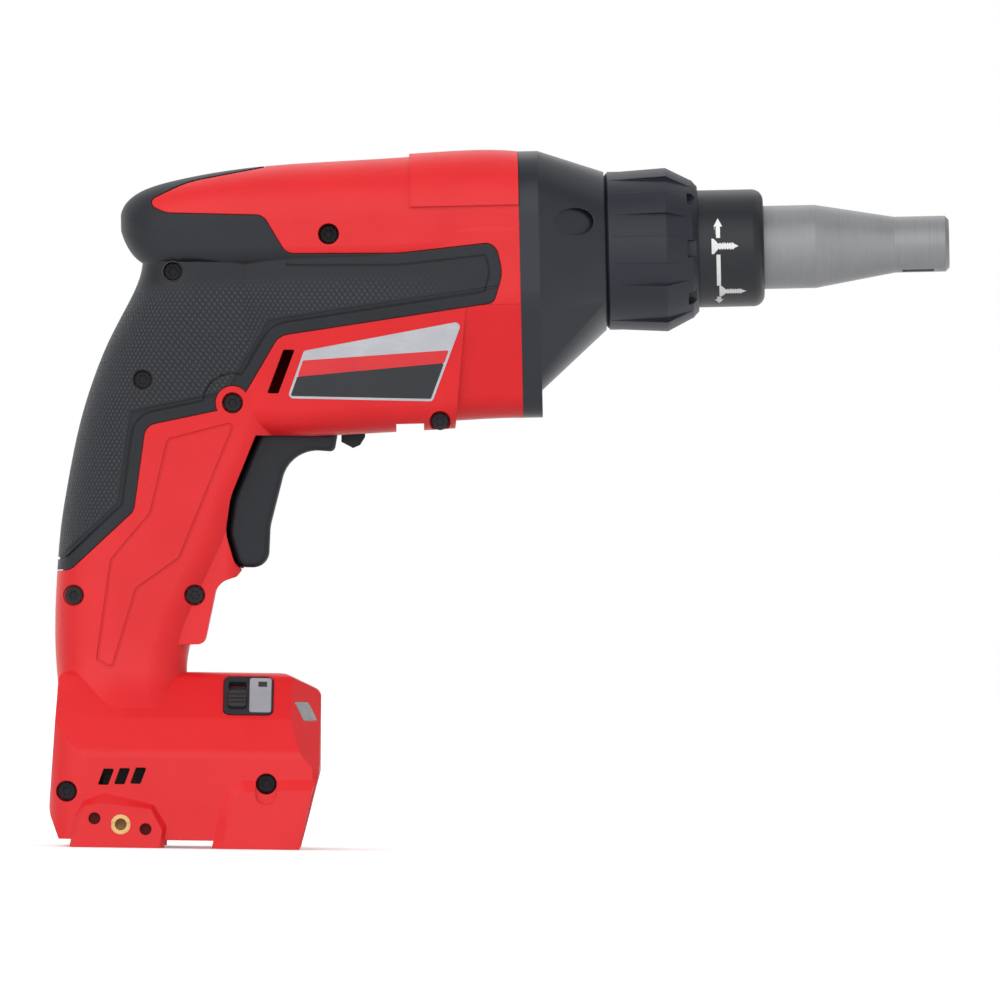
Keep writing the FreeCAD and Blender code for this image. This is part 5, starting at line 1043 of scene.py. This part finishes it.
class SubAssembly(ABC):
    """Solids that belong together, with their finishes and added pieces."""

    @abstractmethod
    def finishes(self) -> dict[str, Finish]:
        """Finish of each solid, by its name."""

    def add_pieces(self, frame: Frame) -> list[bpy.types.Object]:
        """Make the pieces that the solids leave out; none by default."""
        return []

    def build(self, frame: Frame) -> None:
        """Dress the solids and add the pieces.

        Args:
            frame: the loaded frame.
        """
        for name, finish in self.finishes().items():
            finish.put_on(frame["nodes"][name])
            LOG.info("dressed %s in %s", name, finish.name)
        for piece in self.add_pieces(frame):
            LOG.info("added %s", piece.name)

    @staticmethod
    def joint(frame: Frame, name: str) -> dict[str, Any]:
        """Record of one joint."""
        return next(joint for joint in frame["joints"] if joint["name"] == name)

    @staticmethod
    def settle(piece: bpy.types.Object, finish: Finish, body: Body, slot: Slot) -> bpy.types.Object:
        """Dress a new piece and let it ride.

        Args:
            piece: the new piece.
            finish: its finish.
            body: body that carries it.
            slot: material slot that it belongs to; not used.

        Returns:
            The piece.
        """
        finish.put_on(piece)
        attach(piece, body.value)
        return piece


@dataclass
class Housing(SubAssembly):
    """Both shell halves, the soft grip, the screws and the bare rating plate."""

    # corners of the plate in the side view, counterclockwise from the lower rear
    plate_corners: tuple[Point, ...] = (
        (-0.0611, 0.1286), (-0.0196, 0.1283), (-0.0114, 0.1513), (-0.0565, 0.1422),
    )
    plate_round: float = 1.3 * MM
    field_round: float = plate_round / 3
    plate_border: float = 0.7 * MM
    plate_thickness: float = 0.12 * MM
    field_rise: float = 0.03 * MM
    # lower and upper edge of the coloured band: at the rear, at the front
    band_low: tuple[Point, Point] = ((-0.0585, 0.1348), (-0.0153, 0.1394))
    band_high: tuple[Point, Point] = ((-0.0574, 0.1394), (-0.0134, 0.1431))
    # rubber liner of each screw pocket in the grip: its outer end
    liner_ends: tuple[Triple, ...] = ((-0.0943, -0.0223, 0.1644), (-0.1025, -0.0198, 0.1334))
    liner_bottom: float = -13.3 * MM
    liner_inner: float = 2.65 * MM
    liner_outer: float = 3.02 * MM
    # opening at the end of the handle's rear screw, on the left
    end_place: Point = (-0.12285, 0.0716)
    end_beside: float = 2.5 * MM
    end_radius: float = 1.3 * MM
    end_depth: float = 0.1 * MM
    end_thickness: float = 0.2 * MM

    def finishes(self) -> dict[str, Finish]:
        """Red shells, dark grips and dark screws."""
        return {
            "housing_right": RED_NYLON,
            "housing_left": RED_NYLON,
            "grip_right": GRIP_RUBBER,
            "grip_left": GRIP_RUBBER,
            "housing_screws": DARK_STEEL,
        }

    def plate_part(self, low: tuple[Point, Point] | None, high: tuple[Point, Point] | None) -> list[Point]:
        """Field of the plate between two leaning lines.

        Args:
            low: lower line, or None for the plate's own edge.
            high: upper line, or None for the plate's own edge.

        Returns:
            Corners of the field, counterclockwise.
        """
        inner = inset(self.plate_corners, self.plate_border)
        flat = bmesh.new()
        flat.faces.new([flat.verts.new((*point, 0.0)) for point in inner])
        for line, keeps_above in ((low, True), (high, False)):
            if line is None:
                continue
            run = Vector(line[1]) - Vector(line[0])
            normal = Vector((-run.y, run.x, 0.0)).normalized()
            everything = flat.verts[:] + flat.edges[:] + flat.faces[:]
            bmesh.ops.bisect_plane(flat, geom=everything, plane_co=Vector((*line[0], 0.0)), plane_no=normal,
                                   clear_inner=keeps_above, clear_outer=not keeps_above)
        face = flat.faces[:][0]
        corners = [(spot.co.x, spot.co.y) for spot in face.verts]
        flat.free()
        return corners

    def screw_end_cover(self, frame: Frame) -> bpy.types.Object:
        """Small red pip that closes the opening at the end of one screw.

        Args:
            frame: the loaded frame.

        Returns:
            The pip.
        """
        drop = Drop.onto(frame["nodes"]["housing_left"], Side.LEFT)
        x, z = self.end_place
        low, low_normal = drop.hit(x, z - self.end_beside)
        high, high_normal = drop.hit(x, z + self.end_beside)
        face = FlatFace((low + high) / 2, UP.cross(low_normal + high_normal).normalized(), UP)
        outline = disc_outline(self.end_radius)
        cover = ThinSheet("screw_end_cover", outline, -self.end_depth, self.end_thickness).lay(face)
        return self.settle(cover, RED_NYLON, Body.HOUSING, Slot.RED_HOUSING)

    def add_pieces(self, frame: Frame) -> list[bpy.types.Object]:
        """Rating plate with its bare fields, liners of the grip's screw pockets and a screw end's cover.

        Args:
            frame: the loaded frame.

        Returns:
            The new pieces.
        """
        drop = Drop.onto(frame["nodes"]["housing_right"], Side.RIGHT)
        base_outline = round_corners(self.plate_corners, self.plate_round)
        base = ThinSheet("rating_plate", base_outline, 0.0, self.plate_thickness).lay(drop)
        fields = {
            "rating_plate_head": (self.plate_part(self.band_high, None), PLATE_SILVER),
            "rating_plate_band": (self.plate_part(self.band_low, self.band_high), PLATE_RED),
            "rating_plate_field": (self.plate_part(None, self.band_low), PLATE_DARK),
        }
        pieces = [self.settle(base, PLATE_SILVER, Body.HOUSING, Slot.ALLOY), self.screw_end_cover(frame)]
        for name, (corners, finish) in fields.items():
            outline = round_corners(corners, self.field_round)
            piece = ThinSheet(name, outline, self.plate_thickness, self.field_rise).lay(drop)
            pieces.append(self.settle(piece, finish, Body.HOUSING, Slot.ALLOY))
        for number, end in enumerate(self.liner_ends):
            run = Vector((0.0, self.liner_bottom - end[1], 0.0))
            name = f"pocket_liner_{number + 1}"
            liner = Tube(name, Vector(end), run, self.liner_inner, self.liner_outer).turn()
            pieces.append(self.settle(liner, SEAL_RUBBER, Body.HOUSING, Slot.SOFT_GRIP))
        return pieces


@dataclass
class Foot(SubAssembly):
    """Battery foot with its switch, lights, inserts and terminals."""

    # light plate beside the slider
    mark_width: float = 6.2 * MM
    mark_height: float = 13.8 * MM
    mark_share: float = 0.243
    mark_thickness: float = 0.12 * MM
    mark_round: float = 0.8 * MM
    # dark square on that plate
    sign_width: float = 2.5 * MM
    sign_height: float = 2.1 * MM
    sign_centre: Point = (0.6 * MM, 4.4 * MM)
    sign_thickness: float = 0.02 * MM
    # dark floor in the slider's window
    window_share: float = 0.22
    window_width: float = 5.0 * MM
    window_height: float = 10.8 * MM
    floor_thickness: float = 0.02 * MM
    # bore of each insert
    bore_radius: float = 1.64 * MM
    bore_end: float = 30.4 * MM
    # dimples beside each insert, in the side view; a disc of painted shade lies at each one's bottom
    dimple_places: tuple[Point, ...] = ((-114.3 * MM, 8.2 * MM), (-99.7 * MM, 5.3 * MM))
    dimple_radius: float = 1.66 * MM
    dimple_end: float = 36.2 * MM

    def finishes(self) -> dict[str, Finish]:
        """Switch in grey, lights, brass and control parts."""
        return {
            "mode_switch_bezel": SWITCH_PLASTIC,
            "mode_switch_slider": DARK_PLASTIC,
            "work_light_lenses": LENS_CLEAR,
            "work_light_boards": BOARD_GREEN,
            "belt_hook_inserts": TURNED_BRASS,
            "terminal_block": DARK_PLASTIC,
            "battery_terminals": TURNED_BRASS,
            "control_module": DARK_PLASTIC,
        }

    def hole_floor(self, name: str, centre: Vector, radius: float, side: Side) -> bpy.types.Object:
        """Disc that closes the inner end of a hole in a hook pad.

        Args:
            name: name of the piece.
            centre: middle of the hole's end.
            radius: radius of the disc.
            side: side of the tool that the pad is on.

        Returns:
            The disc.
        """
        face = FlatFace(centre, Vector((side.value[1], 0.0, 0.0)), UP)
        return ThinSheet(name, disc_outline(radius), 0.0, self.floor_thickness).lay(face)

    def hole_floors(self) -> list[bpy.types.Object]:
        """Closed inner ends of the two threaded inserts, in darker bronze as partly painted shade, and discs
        of painted shade at the bottoms of the dimples beside them.

        Returns:
            The discs.
        """
        low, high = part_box("belt_hook_inserts")
        middle = (low + high) / 2
        pieces = []
        for side in (Side.RIGHT, Side.LEFT):
            turn = side.value[1]
            word = side.name.lower()
            # closed end of the bore in bronze darker than the brass insert: the end is real, its darker
            # colour is partly painted shade deep in the bore
            centre = Vector((middle.x, -turn * self.bore_end, middle.z))
            disc = self.hole_floor(f"insert_floor_{word}", centre, self.bore_radius, side)
            pieces.append(self.settle(disc, SINTERED_BRONZE, Body.HOUSING, Slot.BRASS))
            for number, (x, z) in enumerate(self.dimple_places):
                # dark red disc at the dimple's bottom: painted shade in a shallow red pocket
                name = f"dimple_painted_shade_{word}_{number + 1}"
                centre = Vector((x, -turn * self.dimple_end, z))
                disc = self.hole_floor(name, centre, self.dimple_radius, side)
                pieces.append(self.settle(disc, PAINTED_SHADE_RED, Body.HOUSING, Slot.RED_HOUSING))
        return pieces

    def switch_pieces(self, frame: Frame) -> list[bpy.types.Object]:
        """Dark floor under the slider, and a light plate with a dark square beside it.

        Args:
            frame: the loaded frame.

        Returns:
            The new pieces.
        """
        across = Vector((1.0, 0.0, 0.0))
        up = Vector(self.joint(frame, "mode_switch_slide")["axis"]).normalized()
        outward = across.cross(up)
        low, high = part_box("mode_switch_bezel")
        bezel = frame["nodes"]["mode_switch_bezel"].data.vertices
        heights = [outward.dot(vertex.co) for vertex in bezel]
        middle = (low + high) / 2
        width = high.x - low.x
        level = middle - outward * outward.dot(middle)
        under = FlatFace(level + outward * min(heights) - across * width * self.window_share, across, up)
        window = box_outline((0.0, 0.0), self.window_width, self.window_height)
        outline = round_corners(window, self.mark_round)
        window_floor = ThinSheet("mode_switch_floor", outline, 0.0, self.floor_thickness).lay(under)
        face = FlatFace(level + outward * max(heights) + across * width * self.mark_share, across, up)
        mark = box_outline((0.0, 0.0), self.mark_width, self.mark_height)
        outline = round_corners(mark, self.mark_round)
        plate = ThinSheet("mode_plate", outline, 0.0, self.mark_thickness).lay(face)
        filled = box_outline(self.sign_centre, self.sign_width, self.sign_height)
        sign = ThinSheet("mode_sign", filled, self.mark_thickness, self.sign_thickness).lay(face)
        return [
            self.settle(window_floor, DARK_PLASTIC, Body.HOUSING, Slot.SWITCH_GREY),
            self.settle(plate, MARK_GREY, Body.HOUSING, Slot.SWITCH_GREY),
            self.settle(sign, PRINT_DARK, Body.HOUSING, Slot.SWITCH_GREY),
        ]

    def add_pieces(self, frame: Frame) -> list[bpy.types.Object]:
        """Pieces of the switch, and the ends of the pads' holes, with painted shade in the dimples and partly
        painted shade in the inserts.
        """
        return self.switch_pieces(frame) + self.hole_floors()


@dataclass
class TriggerGroup(SubAssembly):
    """Trigger with its switch, and the reversing lever."""

    # lip along the trigger's rear face that closes the open line beside it
    lip_aside: float = 7 * MM
    lip_width: float = 5 * MM
    lip_thickness: float = 0.55 * MM
    lip_margin: float = 0.12 * MM
    lip_cell: float = 0.4 * MM

    def finishes(self) -> dict[str, Finish]:
        """Black mouldings and a steel pin."""
        return {
            "trigger": TRIGGER_BLACK,
            "switch_plunger": DARK_PLASTIC,
            "switch_body": DARK_PLASTIC,
            "reversing_lever": TRIGGER_BLACK,
            "lever_pin": GROUND_STEEL,
        }

    def add_pieces(self, frame: Frame) -> list[bpy.types.Object]:
        """Lip behind the trigger.

        Args:
            frame: the loaded frame.

        Returns:
            The new pieces.
        """
        low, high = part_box("trigger")
        height = high.z - low.z - self.lip_margin * 2
        outline = box_outline((self.lip_aside, (low.z + high.z) / 2), self.lip_width, height)
        rear = Drop.onto(frame["nodes"]["trigger"], Side.REAR)
        lip = ThinSheet("trigger_lip", outline, 0.0, self.lip_thickness, cell=self.lip_cell).lay(rear)
        return [self.settle(lip, TRIGGER_BLACK, Body.TRIGGER, Slot.BLACK_PLASTIC)]


@dataclass
class Motor(SubAssembly):
    """Brushless motor with its fan and bearings."""

    def finishes(self) -> dict[str, Finish]:
        """Core sheets, copper, steel and the fan."""
        return {
            "motor_stator": CORE_SHEETS,
            "motor_windings": WOUND_COPPER,
            "sensor_board": BOARD_GREEN,
            "rotor_core": CORE_SHEETS,
            "motor_shaft": GROUND_STEEL,
            "cooling_fan": DARK_PLASTIC,
            "motor_pinion": GROUND_STEEL,
            "rotor_bearing_front": GROUND_STEEL,
            "rotor_bearing_rear": GROUND_STEEL,
        }


@dataclass
class GearTrain(SubAssembly):
    """Gear case, gear, clutch and spindle."""

    spring_turns: float = 1.5
    spring_radius: float = 6.2 * MM
    wire_width: float = 1.2 * MM
    wire_thickness: float = 0.5 * MM
    wire_round: float = 0.12 * MM
    corner_steps: int = 3
    # share of its length that the spring keeps when it is flat
    keep: float = 0.42
    turn_steps: int = 40

    def finishes(self) -> dict[str, Finish]:
        """Black case, alloy plate, steel and bronze inside."""
        return {
            "gear_case": BLACK_COAT,
            "bearing_plate": CAST_ALLOY,
            "plate_screws": DARK_STEEL,
            "output_gear": GROUND_STEEL,
            "clutch_plate": GROUND_STEEL,
            "thrust_washer": GROUND_STEEL,
            "spindle": GROUND_STEEL,
            "spindle_bush_front": SINTERED_BRONZE,
            "spindle_bush_rear": SINTERED_BRONZE,
            "bit_holder": GROUND_STEEL,
            "bit_magnet": GROUND_STEEL,
        }

    def add_pieces(self, frame: Frame) -> list[bpy.types.Object]:
        """Clutch spring of flat wire wound around the spindle.

        Args:
            frame: the loaded frame.

        Returns:
            The new pieces.
        """
        axis = Vector(self.joint(frame, "spindle_spin")["axis"]).normalized()
        origin = Vector(self.joint(frame, "spindle_spin")["pos_m"])
        solid = [axis.dot(vertex.co - origin) for vertex in frame["nodes"]["clutch_spring"].data.vertices]
        start, end = min(solid), max(solid)
        side = Vector((0.0, 1.0, 0.0))
        rise = axis.cross(side)
        run = end - start - self.wire_thickness
        wire = box_outline((0.0, 0.0), self.wire_width, self.wire_thickness)
        section = round_corners(wire, self.wire_round, self.corner_steps)
        steps = int(self.turn_steps * self.spring_turns)
        rings = []
        for step in range(steps + 1):
            angle = math.tau * self.spring_turns * step / steps
            outward = side * math.cos(angle) + rise * math.sin(angle)
            ahead = axis * (start + self.wire_thickness / 2 + run * step / steps)
            middle = origin + ahead + outward * self.spring_radius
            rings.append([middle + outward * wide + axis * thick for wide, thick in section])
        spring = sweep("coil_spring", rings, closed=False, smooth=True)
        self.settle(spring, GROUND_STEEL, Body.GEAR, Slot.STEEL)
        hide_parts("clutch_spring")
        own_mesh(spring)
        return [spring]


@dataclass
class DepthNose(SubAssembly):
    """Depth collar, its sleeve with the printed signs, and the nose."""

    # ring behind the collar
    lip_inner: float = 13.5 * MM
    lip_outer: float = 21.6 * MM
    lip_play: float = 0.06 * MM
    # printed signs on the sleeve
    print_thickness: float = 0.03 * MM
    print_cell: float = 1.0 * MM
    sign_along: float = 61.4 * MM
    bar_width: float = 1.15 * MM
    arrow_width: float = 2.5 * MM
    # arcs above the middle of the right side
    upper_arrow: Triple = (2.9 * MM, 6.3 * MM, 8.9 * MM)
    lower_arrow: Triple = (-16.3 * MM, -17.6 * MM, -20.0 * MM)
    middle_bar: Point = (-1.9 * MM, -11.6 * MM)
    # start along the spindle and arc of each screw sign
    screws: tuple[Point, ...] = ((59.5 * MM, 0.5 * MM), (61.5 * MM, -13.9 * MM))
    screw_length: float = 7.7 * MM
    head_half: float = 2.2 * MM
    head_rim: float = 0.6 * MM
    head_depth: float = 2.0 * MM
    shank_half: float = 0.62 * MM
    thread_half: float = 1.05 * MM
    threads: int = 6
    thread_lean: float = 0.55
    tip_length: float = 1.3 * MM

    def finishes(self) -> dict[str, Finish]:
        """Black collar and sleeve, grey nose."""
        return {
            "depth_collar": COLLAR_BLACK,
            "collar_clip": DARK_STEEL,
            "depth_sleeve": SLEEVE_BLACK,
            "nose_cone": NOSE_GREY,
            "nose_o_ring": SEAL_RUBBER,
        }

    def screw_outline(self, start: float, arc: float) -> list[Point]:
        """Side view of a screw that points to the nose.

        Args:
            start: place of its head along the spindle.
            arc: height of its middle line.

        Returns:
            Outline, counterclockwise.
        """
        shank_start = start + self.head_depth
        tip_start = start + self.screw_length - self.tip_length
        pitch = (tip_start - shank_start) / self.threads
        lower: list[Point] = [(start, -self.head_half), (start + self.head_rim, -self.head_half),
                              (shank_start, -self.shank_half)]
        for number in range(self.threads):
            lower.append((shank_start + pitch * (number + self.thread_lean), -self.thread_half))
            lower.append((shank_start + pitch * (number + 1), -self.shank_half))
        upper = [(along, -height) for along, height in reversed(lower)]
        tip = [(start + self.screw_length, 0.0)]
        return [(along, arc + height) for along, height in lower + tip + upper]

    def collar_lip(self, frame: Frame, spot: Vector, axis: Vector) -> bpy.types.Object:
        """Ring on the collar's rear face that closes the open line to the case.

        Args:
            frame: the loaded frame.
            spot: a point on the spindle line.
            axis: direction of the spindle line.

        Returns:
            The ring.
        """
        case = [vertex.co - spot for vertex in frame["nodes"]["gear_case"].data.vertices]
        collar = [axis.dot(vertex.co - spot) for vertex in frame["nodes"]["depth_collar"].data.vertices]
        face = max(axis.dot(point) for point in case if point.cross(axis).length > self.lip_inner)
        start = spot + axis * (face + self.lip_play)
        run = axis * (min(collar) - face)
        ring = Tube("collar_lip", start, run, self.lip_inner, self.lip_outer).turn()
        return self.settle(ring, COLLAR_BLACK, Body.COLLAR, Slot.BLACK_PLASTIC)

    def arrow_outline(self, root: float, neck: float, tip: float) -> list[Point]:
        """Arrow along the arc with a flat head.

        Args:
            root: arc where its bar starts.
            neck: arc where its head starts.
            tip: arc of its point.

        Returns:
            Outline of bar and head.
        """
        middle, half, wide = self.sign_along, self.bar_width / 2, self.arrow_width / 2
        return [(middle - half, root), (middle + half, root), (middle + half, neck), (middle + wide, neck),
                (middle, tip), (middle - wide, neck), (middle - half, neck)]

    def add_pieces(self, frame: Frame) -> list[bpy.types.Object]:
        """Lip behind the collar, and white signs for a deeper and a shallower screw on the sleeve.

        Args:
            frame: the loaded frame.

        Returns:
            The new pieces.
        """
        turn = self.joint(frame, "collar_turn")
        axis = Vector(turn["axis"]).normalized()
        spot = Vector(turn["pos_m"])
        centre = spot - axis * (spot.x / axis.x)
        pieces = [self.collar_lip(frame, spot, axis)]
        low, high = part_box("depth_sleeve")
        wrap = RoundWrap(centre, axis, (high.y - low.y) / 2)
        bar_top, bar_low = self.middle_bar
        bar_centre = (self.sign_along, (bar_top + bar_low) / 2)
        outlines = {
            "sleeve_arrow_up": self.arrow_outline(*self.upper_arrow),
            "sleeve_arrow_down": self.arrow_outline(*self.lower_arrow),
            "sleeve_bar": box_outline(bar_centre, self.bar_width, bar_top - bar_low),
        }
        for number, (start, arc) in enumerate(self.screws):
            outlines[f"sleeve_screw_{number + 1}"] = self.screw_outline(start, arc)
        for name, outline in outlines.items():
            piece = ThinSheet(name, outline, 0.0, self.print_thickness, cell=self.print_cell).lay(wrap)
            pieces.append(self.settle(piece, PRINT_WHITE, Body.SLEEVE, Slot.BLACK_PLASTIC))
        return pieces


@dataclass(frozen=True)
class Lamp:
    """One wide soft studio light, far away."""

    name: str
    toward: Triple
    spread: float
    strength: float

    def hang(self) -> None:
        """Turn the light so that it shines from its side of the studio."""
        data = bpy.data.lights.new(self.name, "SUN")
        data.angle = math.radians(self.spread)
        data.energy = self.strength
        lamp = bpy.data.objects.new(self.name, data)
        lamp.rotation_euler = Vector(self.toward).to_track_quat("Z", "Y").to_euler()
        bpy.context.scene.collection.objects.link(lamp)


@dataclass
class Studio:
    """Pale floor, soft lights and the camera."""

    azimuth: float = 0.0
    roll: float = 0.76
    distance: float = 9.0
    view_width: float = 0.286
    sensor: float = 36.0
    far_clip: float = 28.0
    aim: Triple = (0.0, 0.0, 0.1004)
    floor_radius: float = 7.0
    floor_sides: int = 96
    floor_drop: float = 0.1 * MM
    ambient: float = 0.45
    lamps: tuple[Lamp, ...] = (
        Lamp("key", toward=(-0.50, -0.74, 0.30), spread=90.0, strength=2.3),
        Lamp("fill", toward=(0.65, -0.74, 0.05), spread=90.0, strength=0.9),
        Lamp("top", toward=(0.25, 0.4, 1.0), spread=70.0, strength=0.5),
        Lamp("rim", toward=(-0.3, 0.8, 0.4), spread=70.0, strength=0.8),
    )

    def lay_floor(self) -> None:
        """Wide pale disc that takes the tool's shadow."""
        shape = bmesh.new()
        angles = [math.tau * number / self.floor_sides for number in range(self.floor_sides)]
        rim = [(math.cos(angle) * self.floor_radius, math.sin(angle) * self.floor_radius) for angle in angles]
        shape.faces.new([shape.verts.new((*point, -self.floor_drop)) for point in rim])
        floor = new_object("floor", shape, False)
        floor.visible_diffuse = False
        FLOOR_PAPER.put_on(floor)

    def light(self) -> None:
        """Surroundings that look white and light the tool a little, and the lamps."""
        world = bpy.data.worlds.new("studio")
        sheet = Sheet(world)
        seen = sheet.node("ShaderNodeLightPath", output="Is Camera Ray")
        strength = seen * (1.0 - self.ambient) + self.ambient
        sheet.close("ShaderNodeBackground", {"Color": (1.0, 1.0, 1.0), "Strength": strength})
        bpy.context.scene.world = world
        for lamp in self.lamps:
            lamp.hang()

    def set_camera(self) -> None:
        """Level long lens on the tool's right side."""
        turn = math.radians(self.azimuth)
        back = Vector((math.sin(turn), -math.cos(turn), 0.0))
        data = bpy.data.cameras.new("camera")
        data.sensor_width = self.sensor
        data.lens = self.sensor * self.distance / self.view_width
        data.clip_end = self.far_clip
        camera = bpy.data.objects.new("camera", data)
        camera.location = Vector(self.aim) + back * self.distance
        tilt = Matrix.Rotation(math.radians(self.roll), 3, "Z")
        camera.rotation_euler = ((-back).to_track_quat("-Z", "Y").to_matrix() @ tilt).to_euler()
        bpy.context.scene.collection.objects.link(camera)
        bpy.context.scene.camera = camera

    def set_up(self) -> None:
        """Everything around the tool."""
        self.lay_floor()
        self.light()
        self.set_camera()
        bpy.context.scene.view_settings.view_transform = "Standard"


def main() -> None:
    """Load the frame, dress every sub-assembly and set up the studio."""
    logging.basicConfig(level=logging.INFO)
    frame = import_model()
    for assembly in (Housing(), Foot(), TriggerGroup(), Motor(), GearTrain(), DepthNose()):
        assembly.build(frame)
    Studio().set_up()


if __name__ == "__main__":
    main()
